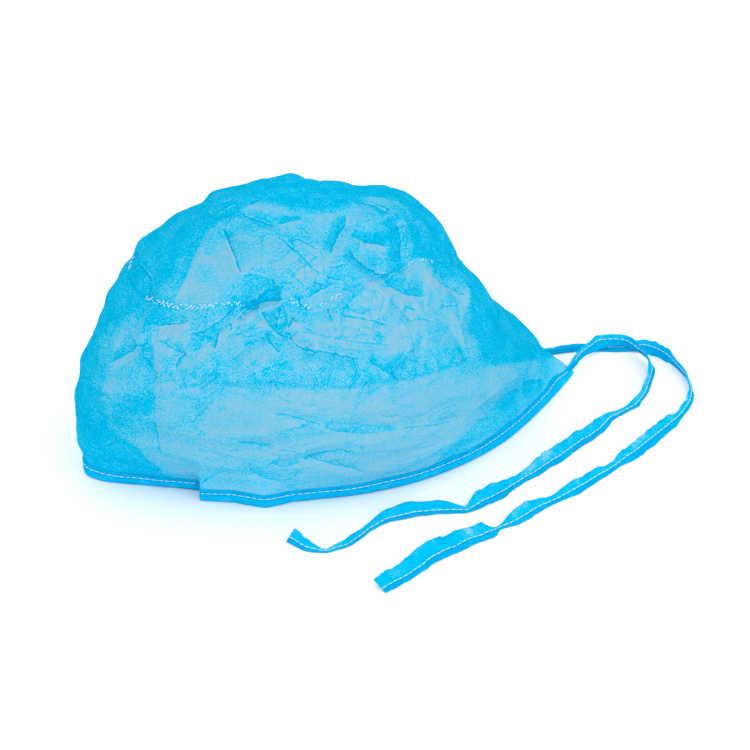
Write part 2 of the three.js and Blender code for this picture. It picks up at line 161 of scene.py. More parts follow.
# Sharp creases of the near side, charted one by one through three places each: how deep they fold in
# millimetres, how deep their line of painted shade is coloured, and how deep and how far their painted
# shade fades to their right. A reach below zero fades to their left instead. The far side repeats them,
# mirrored and moved along.
CREASE_COLUMNS = (
    "angle_a", "level_a", "angle_b", "level_b", "angle_c", "level_c", "depth", "line", "flank", "reach",
)
CREASE_ROWS = (
    # Crown
    (201.5, 4.62, 218.5, 4.23, 228, 3.83, 1.8, 1.0, 0.12, -8),
    (196, 4.98, 216, 4.97, 231, 4.89, 1.2, 0.6, 0.35, 5),
    (234.5, 4.71, 248.5, 4.36, 260, 3.90, 1.0, 0.5, 0.12, 8),
    (240, 4.62, 249.5, 4.62, 258, 4.42, 0.7, 0.5, 0.10, 5),
    (190, 5.19, 184, 5.33, 173, 5.44, 0.8, 0.7, 0.20, 5),
    (286, 5.27, 269, 4.82, 263, 4.33, 1.4, 0.6, 0.35, 5),
    (335.5, 5.46, 318, 5.18, 309, 4.91, 1.0, 0.4, 0.25, 6),
    (309, 4.91, 302, 4.39, 297.5, 3.98, 1.5, 0.5, 0.50, 8),
    (272.5, 4.46, 280, 4.09, 290.5, 3.75, 2.0, 0.8, 0.45, 8),
    (280, 4.56, 287, 4.50, 292, 4.32, 0.8, 0.5, 0.15, -6),
    (172, 3.31, 186, 3.29, 192.5, 3.23, 1.2, 0.6, 0.10, 5),
    (193.5, 3.21, 193.5, 3.03, 194.5, 2.94, 1.2, 0.6, 0.10, 4),
    (186.5, 4.78, 184, 4.95, 184, 5.09, 0.4, -0.4, -0.20, 5),
    (191, 4.57, 202.5, 3.97, 209, 3.09, 0.8, 0.10, 0.50, 20),
    (247, 3.80, 251, 4.10, 258, 4.33, 0.8, 0.3, 0.10, 6),
    (228.5, 3.81, 236.5, 3.85, 243, 3.75, 0.6, 0.2, 0.25, 9),
    (245.5, 4.09, 250.5, 3.83, 254, 3.67, 0.3, 0.3, 0.0, 4),
    (255.5, 3.44, 260.5, 3.62, 265, 3.75, 0.8, 0.6, 0.15, -4),
    (257, 3.75, 259, 3.73, 261, 3.72, 0.3, 0.6, 0.0, 3),
    (245, 3.75, 247, 3.76, 249, 3.77, 0.3, 0.5, 0.0, 3),
    (262.5, 4.04, 267, 4.09, 271, 4.14, 0.4, 0.5, 0.10, 3),
    (262, 3.89, 265.5, 3.84, 268.5, 3.83, 0.4, 0.5, 0.10, -3),
    (230.5, 4.94, 237, 5.07, 245.5, 5.15, 0.6, 0.3, 0.40, -6),
    (199, 4.95, 199, 4.79, 201.5, 4.62, 0.4, 0.4, 0.0, 4),
    (276, 4.79, 282.5, 4.58, 295, 4.31, 0.8, 0.4, 0.25, -7),
    (236.5, 4.10, 240, 4.18, 244.5, 4.41, 0.4, 0.25, 0.08, 5),
    (245.5, 4.95, 249.5, 4.83, 251, 4.79, 0.4, 0.5, 0.0, 3),
    # Seam
    (233.5, 3.23, 239, 3.54, 245, 3.69, 3.0, 0.4, 0.60, 8),
    (232.5, 3.17, 238.5, 3.37, 247, 3.39, 1.0, 0.8, 0.10, -6),
    # Upper half of the panel
    (241, 3.17, 244, 2.95, 249, 2.79, 2.4, 0.6, 0.40, -6),
    (246.5, 3.31, 249, 3.12, 249, 2.88, 1.0, 0.5, 0.20, 4),
    (242.5, 2.87, 245, 2.71, 248, 2.59, 1.2, 0.5, 0.30, -5),
    (250, 2.88, 253, 2.68, 259.5, 2.58, 1.8, 0.9, 0.30, 6),
    (254, 2.67, 263, 2.56, 271, 2.44, 1.4, 0.6, 0.30, 7),
    (205, 2.72, 211.5, 2.79, 217, 2.87, 1.0, 0.7, 0.20, -5),
    (219, 2.69, 225.5, 2.87, 230, 3.19, 1.6, 0.5, 0.45, 6),
    (227.5, 2.85, 228, 2.71, 228, 2.58, 1.2, 0.9, 0.30, 4),
    (220, 2.50, 218, 2.39, 218, 2.27, 1.0, 0.8, 0.10, -5),
    (231, 2.93, 231.5, 2.88, 231.5, 2.82, 0.8, 0.7, 0.0, 3),
    (233.5, 2.98, 236, 3.18, 239, 3.27, 1.0, 0.5, 0.15, -5),
    (232, 2.76, 237, 2.85, 242, 2.92, 0.8, 0.4, 0.12, 6),
    (236.5, 2.65, 240, 2.73, 244.5, 2.77, 0.8, 0.4, 0.12, 6),
    (205.5, 2.33, 210, 2.18, 212, 2.14, 0.8, 0.4, 0.10, 5),
    (192, 2.08, 197, 2.25, 202.5, 2.44, 1.0, 0.3, 0.25, -5),
    (263.5, 3.21, 264, 3.10, 265.5, 3.00, 1.0, 0.8, 0.10, 4),
    (267, 3.09, 275, 2.98, 283, 2.79, 1.2, 0.45, 0.15, 7),
    (287, 3.68, 292, 3.35, 304, 3.06, 1.4, 0.4, 0.30, -6),
    (310, 3.48, 317, 3.06, 322, 2.73, 1.4, 0.4, 0.30, -8),
    (292, 3.04, 294.5, 2.97, 296.5, 2.90, 0.7, 0.4, 0.10, 4),
    (308, 2.83, 311, 2.77, 314, 2.71, 0.7, 0.4, 0.15, 4),
    (281, 3.49, 281, 3.34, 281, 3.22, 0.5, 0.25, 0.0, 4),
    (254, 2.87, 266, 2.73, 284.5, 2.52, 1.0, 0.3, 0.12, 7),
    (252, 3.08, 251, 2.99, 250, 2.91, 1.0, 0.5, 0.25, 4),
    (255, 2.95, 260.5, 2.81, 270.5, 2.74, 0.8, 0.35, 0.0, -6),
    (233, 2.43, 238.5, 2.66, 245, 2.85, 1.0, 0.3, 0.25, 7),
    (226, 2.06, 229, 2.19, 231.5, 2.33, 0.8, 0.3, 0.20, 6),
    (240, 2.32, 245, 2.41, 251, 2.51, 0.8, 0.3, 0.20, 5),
    (273, 2.42, 276, 2.31, 278, 2.20, 1.0, 0.5, 0.20, -6),
    (278, 2.20, 282, 2.27, 286, 2.35, 1.0, 0.4, 0.35, 7),
    (222, 2.51, 224.5, 2.61, 227, 2.72, 0.8, 0.2, 0.20, -6),
    (252.5, 3.52, 254, 3.28, 258, 3.22, 0.8, 0.5, 0.25, 4),
    (233, 2.98, 234, 3.12, 235.5, 3.27, 0.6, 0.7, 0.15, 3),
    (230, 3.06, 230.5, 3.19, 232, 3.33, 0.6, 0.5, 0.30, -4),
    (246.5, 3.27, 246.5, 3.13, 246, 3.02, 0.8, 0.6, 0.30, 4),
    (259, 2.73, 267, 2.60, 277, 2.50, 0.6, 0.2, 0.12, 6),
    (268, 3.04, 271, 3.31, 279, 3.63, 0.8, 0.2, 0.15, -7),
    (286.5, 3.23, 290, 2.98, 294, 2.74, 0.8, 0.2, 0.15, 7),
    (290.5, 2.78, 296, 2.77, 302, 2.64, 0.6, 0.25, 0.12, 5),
    (210, 2.56, 215, 2.50, 219.5, 2.49, 0.8, 0.3, 0.20, -6),
    (234.5, 2.77, 236.5, 2.87, 240, 2.96, 0.6, 0.35, 0.20, 5),
    (263.5, 3.12, 265, 2.93, 266, 2.79, 0.6, 0.25, 0.0, 6),
    # Front edge of the near side
    (203.5, 2.67, 210.5, 2.12, 214.5, 1.46, 0.8, 0.15, 0.20, 26),
    (214.5, 1.46, 216, 1.10, 218, 0.83, 0.8, 0.3, 0.10, 8),
    (206, 0.97, 212, 0.72, 216, 0.35, 0.6, 0.1, 0.40, 14),
    # Lower half of the panel
    (225, 1.46, 227.5, 1.71, 229, 1.85, 0.8, 0.25, 0.10, 5),
    (232, 1.79, 233.5, 1.82, 234.5, 1.84, 0.5, 0.15, 0.0, 3),
    (246, 1.81, 252.5, 1.71, 257.5, 1.58, 0.7, 0.30, 0.08, 5),
    (257.5, 1.58, 263, 1.40, 275.5, 1.28, 0.6, 0.20, 0.35, -5),
    (257, 1.60, 264, 1.55, 275.5, 1.28, 0.4, 0.15, 0.0, 3),
    (275.5, 1.28, 283, 1.18, 289.5, 1.05, 0.6, 0.30, 0.06, 5),
    (237, 1.31, 241, 1.28, 246, 1.23, 1.2, 0.45, 0.30, 3),
    (246, 1.17, 248, 1.16, 250, 1.14, 0.6, 0.35, 0.0, 3),
    (244.5, 0.96, 247, 0.85, 251, 0.96, 1.0, 0.30, 0.25, -4),
    (251, 1.00, 258, 1.11, 263.5, 1.03, 1.0, 0.35, 0.25, 4),
    (251, 1.02, 257, 0.87, 264.5, 0.55, 1.0, 0.30, 0.20, -3),
    (228, 0.37, 231.5, 0.60, 236, 0.78, 0.8, 0.20, 0.20, 5),
    (240, 0.97, 240.5, 0.72, 246.5, 0.52, 1.0, 0.20, 0.20, -6),
    (246.5, 0.52, 248.5, 0.61, 250, 0.77, 0.8, 0.25, 0.10, 3),
    (272, 1.62, 274, 1.56, 277, 1.53, 0.6, 0.25, 0.0, 3),
    (283, 1.27, 287.5, 1.36, 294, 1.34, 0.8, 0.20, 0.10, 5),
    (286, 1.22, 289.5, 1.16, 294, 1.06, 0.6, 0.20, 0.0, 3),
    (299, 1.16, 307, 0.94, 317, 0.93, 0.8, 0.15, 0.15, 6),
    (265.5, 1.79, 271, 1.96, 276, 2.08, 0.8, 0.20, 0.08, 6),
    (253, 1.93, 255, 1.93, 257, 1.92, 0.5, 0.15, 0.0, 3),
    (256.5, 1.74, 261.5, 1.77, 265, 1.73, 0.5, 0.15, 0.0, 3),
    (204, 1.05, 201, 0.90, 199, 0.73, 0.3, -0.15, 0.0, 3),
    # Doubled hem above the binding
    (279, 0.30, 295.5, 0.79, 317, 0.91, 0.5, 0.10, 0.45, 24),
    (317, 0.91, 322, 0.75, 327, 0.49, 0.6, 0.25, 0.35, 10),
)
FAR_SHIFT = 9
CREASE_PIECES = 8
CREASE_WIDTH = 2
CREASE_WIDENS = 2.5
FLANK_SHADE_SHARE = 1.6
FLANK_ROUNDNESS = 1.5

# Within which share of its length a crease fades at both ends: its fold, its flank and its line
FOLD_FADE = 0.20
FLANK_FADE = 0.12
LINE_FADE = 0.10

# The thin line of painted shade along a crease and the painted highlight beside it, in millimetres, and how
# strongly each colours
LINE_WIDTHS = (0.1, 0.55)
LINE_SWAY = 0.35
LINE_SHADE_SHARE = 1.9
LINE_END_AWAY = 2
RIDGE_AWAY = 1.0
RIDGE_HIGHLIGHT_SHARE = 0.5
NOWHERE_NEAR = 99.0

# Mesh of the cloth: columns round the cap, closer together on the near side, and rows up it.
# The inner skin is coarser by this step.
CLOTH_COLUMNS = 680
PANEL_ROWS = 129
CROWN_ROWS = 135
INNER_STEP = 4
NEAR_SHARE = 0.728
NEAR_CLOSENESS = 0.4

# Levels between which the panel's lower half turns into its upper half, and those of the calm rim
UPPER_HALF = (1.75, 2.25)
RIM_CALM = (0.2, 0.6)

# How strongly each cause deepens the cloth's colour, and where it does
BASE_TONE = 0.38
UPPER_PALE = 0.13
UPPER_PALE_FROM = (2.3, 2.7)
UPPER_PALE_TO = (3.2, 3.6)
EDGE_TONE = 1.1
EDGE_CALM = 0.5
SEAM_TONE = 0.45
SEAM_WIDTH = 0.7
# Painted shade and light on the relief's facets by how they lean up and turn round the cap: deeper where
# they face down, paler where they face up, and weaker on the lower half
LEAN_SHADE = 1.7
TURN_SHADE = 1.2
FACET_SHADE_LIMITS = (-0.25, 0.35)
LOW_FACET_SHADE = 0.55
# Painted shade in the relief's hollows and painted highlight on its ridges, by how sharply it bends
VALLEY_SHADE = 0.14
VALLEY_BEND = (0.10, 0.50)
RIDGE_HIGHLIGHT = 0.06
RIDGE_BEND = (0.2, 0.6)
MOST_TONE = 1.25
LEAST_STEP = 0.05

# Painted light: how much brighter the cloth's colour is made just above the binding and on the crown top,
# to make up for the shade that falls there, with the levels between which that fades
LOW_PAINTED_LIGHT = 0.16
LOW_PAINTED_LIGHT_LEVELS = (0.1, 1.2)
TOP_PAINTED_LIGHT = 0.08
TOP_PAINTED_LIGHT_LEVELS = (4.4, 5.6)

# Where the deep margins begin on the near side, at the front and at the back of each level. The far side
# mirrors them.
MARGIN_ROWS = (
    (0.2, 217, 352), (0.5, 214, 350), (0.9, 209, 337), (1.1, 199, 330), (1.4, 196, 320),
    (1.7, 194, 311), (2.1, 192, 314), (2.4, 190, 318), (2.8, 192, 326), (3.1, 199, 322),
    (3.4, 200, 314), (4.0, 197, 303), (4.6, 195, 321), (5.0, 196, 340), (5.4, 184, 345),
)
MARGIN_BLUR = 4

# The side turned away from the camera is calmer, by the cosine of the angle from its middle: how calm,
# where that begins at each level, over which range, and how much sooner below the given levels
AWAY_ANGLE = 76
AWAY_LEVELS = (3.3, 4.7, 5.1)
AWAY_LIMITS = (0.20, 0.62, 1.0)
AWAY_CALM = 0.7
AWAY_RANGE = (0.10, 0.50)
AWAY_START = 0.35
AWAY_START_LEVELS = (3.3, 4.2)

# Margins of the far side: how far its front one is moved and between which angles, how much more they blur
# and sway below the given levels, and how much lower its top one begins
FAR_SIDE = (0.0, 0.4)
FAR_FRONT = 24
FAR_FRONT_ANGLES = (100, 150)
FAR_LEVELS = (3.8, 4.6)
FAR_BLUR = 16
FAR_SWAY = 6
FAR_WAVES = 3.1
FAR_TOP = 0.9
TOP_MARGIN = (5.25, 5.60)

# Patches of denser (above zero) or thinner cloth, with their reach in millimetres
PATCH_COLUMNS = ("angle", "level", "reach", "tone")
PATCH_ROWS = (
    # From level 3.4 upwards
    (64, 5.20, 14, -0.30), (197, 3.67, 6, -0.30), (198, 3.75, 4, -0.55), (200, 4.45, 8, 0.15),
    (212, 4.85, 7, 0.25), (216, 3.80, 14, -0.04), (218, 4.85, 8, 0.30), (236, 3.89, 6, -0.20),
    (243, 5.15, 6, 0.30), (244, 3.58, 5, 0.25), (250, 3.40, 7, 0.40), (250, 4.15, 6, -0.18),
    (251, 4.20, 10, -0.20), (253, 5.50, 9, -0.22), (254, 3.42, 6, 0.30), (255, 5.10, 14, 0.12),
    (262, 4.10, 14, -0.14), (263, 4.80, 5, -0.20), (264, 3.45, 7, 0.35), (267, 4.54, 6, 0.25),
    (271, 3.80, 7, 0.45), (276, 4.75, 6, 0.30), (282, 3.60, 5, -0.25), (283, 4.05, 8, 0.25),
    (284, 4.25, 7, -0.20), (285, 3.56, 5, -0.25), (291, 3.85, 6, 0.60), (291, 4.19, 5, -0.35),
    (291, 4.60, 6, -0.15), (291, 5.10, 8, 0.35), (294, 3.89, 7, 0.35), (296, 4.05, 6, 0.50),
    (301, 4.70, 12, 0.30), (307, 3.60, 10, -0.75), (312, 4.55, 16, 0.65), (315, 3.50, 6, -0.35),
    (316, 4.70, 6, -0.30), (322, 5.30, 8, 0.35), (362, 5.67, 8, -0.35),
    # Between level 2 and level 3.4
    (184, 2.10, 10, -0.30), (187, 2.34, 6, -0.25), (189, 2.35, 9, -0.50), (198, 2.15, 6, 0.20),
    (198, 2.69, 6, 0.20), (198, 2.69, 7, 0.22), (199, 3.25, 4, -0.45), (200, 2.95, 9, 0.60),
    (201, 2.94, 8, 0.25), (208, 2.30, 7, -0.30), (226, 2.28, 6, -0.25), (232, 3.33, 6, 0.25),
    (235, 2.30, 8, 0.35), (236, 2.47, 6, -0.18), (238, 2.15, 10, -0.20), (246, 2.80, 8, 0.35),
    (248, 3.10, 5, -0.30), (250, 2.55, 6, 0.25), (257, 2.75, 7, -0.22), (262, 2.83, 8, -0.30),
    (272, 2.45, 9, 0.25), (275, 3.15, 9, -0.22), (286, 2.90, 7, -0.18), (288, 3.10, 15, -0.12),
    (293, 2.20, 9, 0.20), (300, 2.35, 10, 0.50), (302, 2.02, 9, 0.20), (302, 3.23, 6, 0.20),
    (304, 3.21, 7, 0.22), (314, 2.08, 6, -0.25), (314, 2.79, 7, 0.25), (315, 2.70, 8, 0.20),
    # Below level 2
    (187, 1.70, 12, -0.18), (188, 1.79, 8, -0.20), (190, 1.85, 8, -0.15), (197, 0.77, 10, 0.20),
    (202, 1.33, 8, 0.20), (203, 1.60, 10, 0.20), (205, 1.30, 10, 0.30), (206, 0.53, 8, -0.20),
    (206, 0.95, 12, 0.30), (209, 1.68, 7, 0.35), (211, 1.62, 6, 0.15), (245, 1.35, 7, -0.15),
    (250, 1.60, 26, -0.14), (252, 1.73, 8, -0.15), (261, 1.66, 8, -0.25), (270, 1.26, 7, 0.18),
    (271, 0.75, 14, -0.15), (271, 1.47, 8, -0.15), (271, 1.55, 12, -0.28), (274, 1.52, 7, -0.15),
    (284, 1.50, 9, -0.25), (288, 1.70, 24, -0.12), (296, 0.76, 8, -0.22), (303, 1.94, 7, 0.18),
    (306, 0.95, 8, -0.20), (307, 0.81, 8, 0.35), (309, 1.87, 9, 0.40), (312, 0.62, 12, 0.30),
    (317, 0.55, 8, 0.30), (320, 0.85, 12, 0.35), (323, 1.90, 10, 0.35), (332, 0.75, 10, 0.40),
    (334, 1.98, 8, -0.28), (344, 0.75, 12, 0.40),
)

# Flat facets of the crumpled cloth by zone: their length round the cap, their height up it, their relief
FACET_COLUMNS = ("zone", "along", "up", "relief")
FACET_ROWS = (
    ("crown", 40, 34, 1.8),
    ("crown", 19, 16, 1.5),
    ("crown", 9, 8, 0.7),
    ("upper", 36, 26, 1.8),
    ("upper", 17, 13, 1.4),
    ("upper", 8, 7, 0.6),
    ("lower", 72, 17, 1.3),
    ("lower", 36, 9, 0.9),
    ("lower", 16, 5, 0.4),
)
FACET_CELL = 0.4
FACET_JITTER = 0.4
GIRTH_RADIUS = 105
LEVEL_HEIGHT = 31
PANEL_LEVELS = 4.2
CROWN_MIDDLE = (-15, 0)
CROWN_SPAN = (320, 220)
CROWN_BLEND = (-0.25, 0.25)

# Waves in which the facets are laid, along and up: each has a height, its turn by x, y and z, and its start
FACET_WAVES = (
    ((1.5, (1 / 13, 0, 1 / 9), 0), (1.0, (0, 1 / 7, -1 / 11), 1)),
    ((1.5, (1 / 10, 1 / 12, 0), 2), (1.0, (1 / 15, 0, 1 / 6), 0)),
)

# Folds push the cloth straight out from this axis, and more upwards above the given height
PUSH_CENTRE_X = -15
PUSH_LEVEL_Z = 45

# Back opening between the two ends of the binding
FAR_END = 26
NEAR_END = 348
OPENING_RISE = 24
OPENING_ROUNDNESS = 0.6

# The search for the level of a height: the highest level that it tries, and how often it halves
HIGHEST_FOOT = 2.0
HALVINGS = 40

# The doubled tuck along the middle of each side: the level of its lower edge at each angle
TUCK_NEAR_ROWS = (
    (216, 1.98), (222, 2.08), (229, 2.19), (245, 2.22), (258, 2.20), (264, 2.14), (278, 2.12),
    (295, 2.01), (310, 1.95),
)
TUCK_FAR_ROWS = (
    (50, 2.05), (66, 2.12), (82, 2.12), (98, 2.22), (114, 2.24), (128, 2.12), (142, 1.95),
)
TUCK_BAND = 8
TUCK_END = 1.6
TUCK_FADE_ANGLE = 8
TUCK_LEDGE = 0.7

# Where the tuck's ledge and its colour rise across its lower edge, and the share of its band that is full
TUCK_LEDGE_PLACE = ((-0.8, 0.6), 0.5)
TUCK_TONE_PLACE = ((-0.4, 0.4), 0.7)

# Ties, from the sewn end to the free end: x, y and z, how far each is rolled on its edge, its width
# against the setting, and where its stitches run between its two edges at -1 and 1
NEAR_TIE_ROWS = (
    (147, 3, 3.4, 80, 0.72, 0.30),
    (161, 9, 3.8, 62, 0.90, 0.25),
    (169, 9, 3.8, 58, 0.80, 0.20),
    (176, 6, 3.8, 66, 0.62, 0.10),
    (178, -3, 3.8, 95, 0.60, 0.0),
    (178, -12, 3.6, 112, 0.75, 0.0),
    (175, -24, 2.4, 122, 0.78, -0.05),
    (168, -33, 1.4, 130, 0.52, -0.10),
    (158, -44, 1.2, 138, 0.50, -0.20),
    (149, -51, 1.2, 146, 0.55, -0.25),
    (141, -54, 1.2, 165, 0.40, -0.20),
    (129, -58, 1.2, 150, 0.60, -0.20),
    (118, -66, 1.2, 148, 0.88, -0.25),
    (101, -74, 1.2, 150, 0.96, -0.30),
    (80, -84, 1.2, 152, 1.00, -0.30),
    (60, -92, 1.2, 160, 0.68, -0.30),
    (42, -100, 1.2, 150, 0.96, -0.30),
    (30, -104, 1.2, 152, 0.80, -0.30),
    (22, -106, 1.2, 176, 0.55, -0.20),
    (13, -102, 1.2, 152, 0.82, -0.45),
    (4, -99, 1.2, 150, 0.90, -0.45),
    (-6, -98, 1.2, 150, 0.92, -0.40),
    (-16, -97, 1.2, 150, 0.80, -0.40),
    (-27, -101, 1.2, 174, 0.55, -0.30),
    (-43, -110, 1.2, 165, 0.50, -0.30),
    (-54, -111, 1.2, 176, 0.32, 0.0),
    (-61, -105, 1.2, 148, 0.60, -0.20),
    (-65, -95, 1.2, 140, 0.85, -0.30),
)
FAR_TIE_ROWS = (
    (138, 17, 1.2, 60, 0.50, 0.10),
    (150, 16, 1.2, 30, 0.60, 0.10),
    (161, 12, 1.2, 10, 0.70, 0.20),
    (171, 8, 1.2, 8, 0.75, 0.20),
    (178, 5, 1.2, 12, 0.80, 0.20),
    (185, -1, 1.2, 36, 0.90, 0.20),
    (189, -10, 1.2, 65, 0.85, 0.10),
    (190, -23, 1.2, 90, 0.80, 0.05),
    (188, -39, 1.2, 112, 0.70, 0.0),
    (182, -53, 1.2, 128, 0.45, 0.0),
    (175, -62, 1.2, 140, 0.55, 0.0),
    (165, -70, 1.2, 150, 0.45, -0.05),
    (156, -76, 1.2, 150, 0.75, -0.10),
    (145, -82, 1.2, 150, 0.85, -0.10),
    (131, -90, 1.2, 150, 0.90, -0.05),
    (117, -97, 1.2, 152, 0.85, -0.05),
    (109, -100, 1.2, 168, 0.55, -0.10),
    (99, -104, 1.2, 152, 0.75, -0.15),
    (79, -112, 1.2, 150, 0.90, -0.20),
    (62, -117, 1.2, 165, 0.55, -0.10),
    (49, -121, 1.2, 150, 0.90, -0.25),
    (38, -125, 1.2, 155, 0.75, -0.30),
    (29, -127, 1.2, 188, 0.32, 0.0),
    (22, -129, 1.2, 152, 1.04, -0.25),
    (12, -130, 1.2, 150, 1.10, -0.30),
    (0, -133, 1.2, 150, 1.12, -0.35),
    (-16, -138, 1.2, 150, 1.12, -0.40),
    (-31, -145, 1.2, 150, 1.12, -0.45),
    (-44, -150, 1.2, 152, 1.06, -0.40),
)
TIE_REST = 1.2

# Inside the binding's end: a tie's z, roll, width and stitch, and how far in it starts, in degrees
SLEEVE_PLACE = (TIE_REST, 88.0, 0.62, 0.2)
SLEEVE_ANGLE = 3.0

# Facets drawn on the cloth, with painted shade across each and along the creases between them: their size
# in metres, their stretch round the cap, the half of the panel that has them and their share. The lower
# half lies flatter, and the upper half stands upright.
CRINKLE_ROWS = (
    (0.017, 1.0, "upright", 1.0),
    (0.008, 1.0, "upright", 1.0),
    (0.009, 5.0, "lying", 0.5),
    (0.0045, 4.0, "lying", 0.5),
)
# Painted shade that fades across each drawn facet, and painted shade along the thin lines between them
CRINKLE_SHADE = 0.16
CRINKLE_LINE_SHADE = 0.55
CRINKLE_WIDTH = 0.0005

# Finishes: how strongly each detail deepens the colour, or makes it paler below zero, and further colours
FIBRE_TONE = 0.12
MOTTLE_TONE = 0.06
MOTTLE_EDGE_TONE = 0.22
TUCK_TONE = 0.46
BOND_TONE = -0.06
BOND_HEIGHT = -0.7
DOT_TONE = -0.9
DOT_PITCH = 0.90
DOT_WHITE = (0.80, 0.92, 0.96)
STRIP_PATCHES = 0.22
STRIP_SPECKS = 0.38
THREAD_WHITES = ((0.86, 0.92, 0.95), (1.0, 1.0, 1.0))
SHEEN_TINT = (0.0, 0.50, 0.85, 1.0)
GLOW_SHARE = 0.18

# Stage, in metres: where the camera turns about and where it looks, the table's half size and the lights
CAMERA_PIVOT = (-0.006, 0.0, 0.0)
CAMERA_AIM = (0.0226, 0.0011, 0.0210)
SENSOR_WIDTH_MM = 36.0
VIEW_END = 20.0
TABLE_HALF = 6.0
TABLE_WHITE = (0.97, 0.97, 0.97, 1.0)
KEY_PLACE = (-0.9, -0.7, 1.5)
FILL_PLACE = (0.4, -1.6, 0.25)
LIGHT_SIZE = 1.2


class ClothSettings(bpy.types.PropertyGroup):
    """The thin non-woven cloth of the crown and the side panel."""

    thickness: FloatProperty(
        name="Thickness", description="Thickness of the cloth", default=0.00035, unit="LENGTH"
    )
    pale: FloatVectorProperty(
        name="Pale blue", description="Colour of a single flat layer", default=(0.29, 0.575, 0.73),
        subtype="COLOR", size=3, min=0.0, max=1.0,
    )
    deep: FloatVectorProperty(
        name="Deep blue", description="Colour where layers or folds lie together",
        default=(0.0, 0.51, 0.775), subtype="COLOR", size=3, min=0.0, max=1.0,
    )
    # Deepest colour, taken by the darkest painted crease shade
    folded: FloatVectorProperty(
        name="Folded", description="Colour inside tight creases", default=(0.0, 0.38, 0.68),
        subtype="COLOR", size=3, min=0.0, max=1.0,
    )
    bond_pitch: FloatProperty(
        name="Bond pitch", description="Distance between the bonded points", default=0.0012, unit="LENGTH"
    )
    crumple: FloatProperty(
        name="Crumple", description="Height of the crumple against its table", default=1.0, subtype="FACTOR"
    )
    seed: IntProperty(name="Seed", description="Which crumple is drawn", default=11)


class BindingSettings(bpy.types.PropertyGroup):
    """The folded band round the rim."""

    height: FloatProperty(name="Height", description="Height of the band", default=0.0085, unit="LENGTH")
    colour: FloatVectorProperty(
        name="Colour", description="Colour of the folded strip", default=(0.0, 0.455, 0.79),
        subtype="COLOR", size=3, min=0.0, max=1.0,
    )
    deep: FloatVectorProperty(
        name="Deep", description="Colour where most layers lie together", default=(0.0, 0.32, 0.64),
        subtype="COLOR", size=3, min=0.0, max=1.0,
    )


class TieSettings(bpy.types.PropertyGroup):
    """The two folded strips that tie the cap."""

    width: FloatProperty(name="Width", description="Width of a tie", default=0.009, unit="LENGTH")
    thickness: FloatProperty(
        name="Thickness", description="Thickness of the folded strip", default=0.0009, unit="LENGTH"
    )


class StitchSettings(bpy.types.PropertyGroup):
    """The white sewing thread."""

    length: FloatProperty(
        name="Stitch", description="Length of one running stitch", default=0.0035, unit="LENGTH"
    )
    pitch: FloatProperty(
        name="Pitch", description="Distance from one stitch to the next", default=0.0033, unit="LENGTH"
    )
    thread: FloatProperty(
        name="Thread", description="Thickness of the thread", default=0.00027, unit="LENGTH"
    )
    overlock_pitch: FloatProperty(
        name="Overlock", description="Distance between turns of the zigzag", default=0.0017, unit="LENGTH"
    )
    overlock_rise: FloatProperty(
        name="Overlock rise", description="Half the width of the zigzag", default=0.0011, unit="LENGTH"
    )


class StageSettings(bpy.types.PropertyGroup):
    """Table, light and camera."""

    lens: FloatProperty(name="Lens", description="Focal length", default=102.0, unit="CAMERA")
    azimuth: FloatProperty(
        name="Azimuth", description="Where the camera stands round the cap",
        default=math.radians(-23), subtype="ANGLE",
    )
    elevation: FloatProperty(
        name="Elevation", description="How high the camera stands",
        default=math.radians(30), subtype="ANGLE",
    )
    distance: FloatProperty(
        name="Distance", description="Distance of the camera from its pivot", default=1.1, unit="LENGTH"
    )
    sky: FloatProperty(name="Sky", description="Strength of the even light", default=1.15)
    key: FloatProperty(name="Key", description="Power of the soft key light", default=5.0, unit="POWER")
    fill: FloatProperty(name="Fill", description="Power of the soft fill light", default=8.0, unit="POWER")


class SurgicalCapSettings(bpy.types.PropertyGroup):
    """All settings of the cap."""

    cloth: PointerProperty(type=ClothSettings)
    binding: PointerProperty(type=BindingSettings)
    tie: PointerProperty(type=TieSettings)
    stitch: PointerProperty(type=StitchSettings)
    stage: PointerProperty(type=StageSettings)


def table(columns, rows):
    """Rows of numbers as dictionaries by column name."""
    return [dict(zip(columns, row)) for row in rows]


def catmull(p0, p1, p2, p3, t):
    """A smooth curve from p1 to p2."""
    square = (2 * p0 - 5 * p1 + 4 * p2 - p3) * t**2
    cube = (3 * p1 - p0 - 3 * p2 + p3) * t**3
    return p1 + 0.5 * ((p2 - p0) * t + square + cube)


def bell(value, spread):
    """1 at zero, fading to 0 beyond the spread."""
    return np.exp(-((value / spread) ** 2))


def ramp(value, low, high):
    """0 below low, 1 above high, smooth between."""
    t = np.clip((value - low) / (high - low), 0, 1)
    return t * t * (3 - 2 * t)


def unit(vectors):
    """Vectors of length 1."""
    return vectors / np.maximum(np.linalg.norm(vectors, axis=-1, keepdims=True), 1e-9)


def shape_rows():
    """The shape table with one row before the rim and one past the top."""
    rows = np.array(SHAPE_ROWS, float)
    below, top = rows[-2], rows[-1]
    past = 2 * top - below
    past[0], past[1] = below[1], below[0]
    past[5:] = 0
    return np.vstack([2 * rows[0] - rows[1], rows, past])


SHAPE = shape_rows()


def smooth_points(angle, level):
    """The cap's smooth form, without folds."""
    k = np.clip(np.floor(level).astype(int), 0, TOP_LEVEL - 1)
    rows = catmull(SHAPE[k], SHAPE[k + 1], SHAPE[k + 2], SHAPE[k + 3], (level - k)[..., None])
    z_front, z_back, x_front, x_back, half_width, taper, point = np.moveaxis(rows, -1, 0)
    c, s = np.cos(np.radians(angle)), np.sin(np.radians(angle))
    x = (x_front + x_back) / 2 + (x_back - x_front) / 2 * c
    y = half_width * s * (1 - taper * c - point * c * c)
    z = z_front + (z_back - z_front) * (1 + c) / 2
    return np.stack([x, y, z], -1)


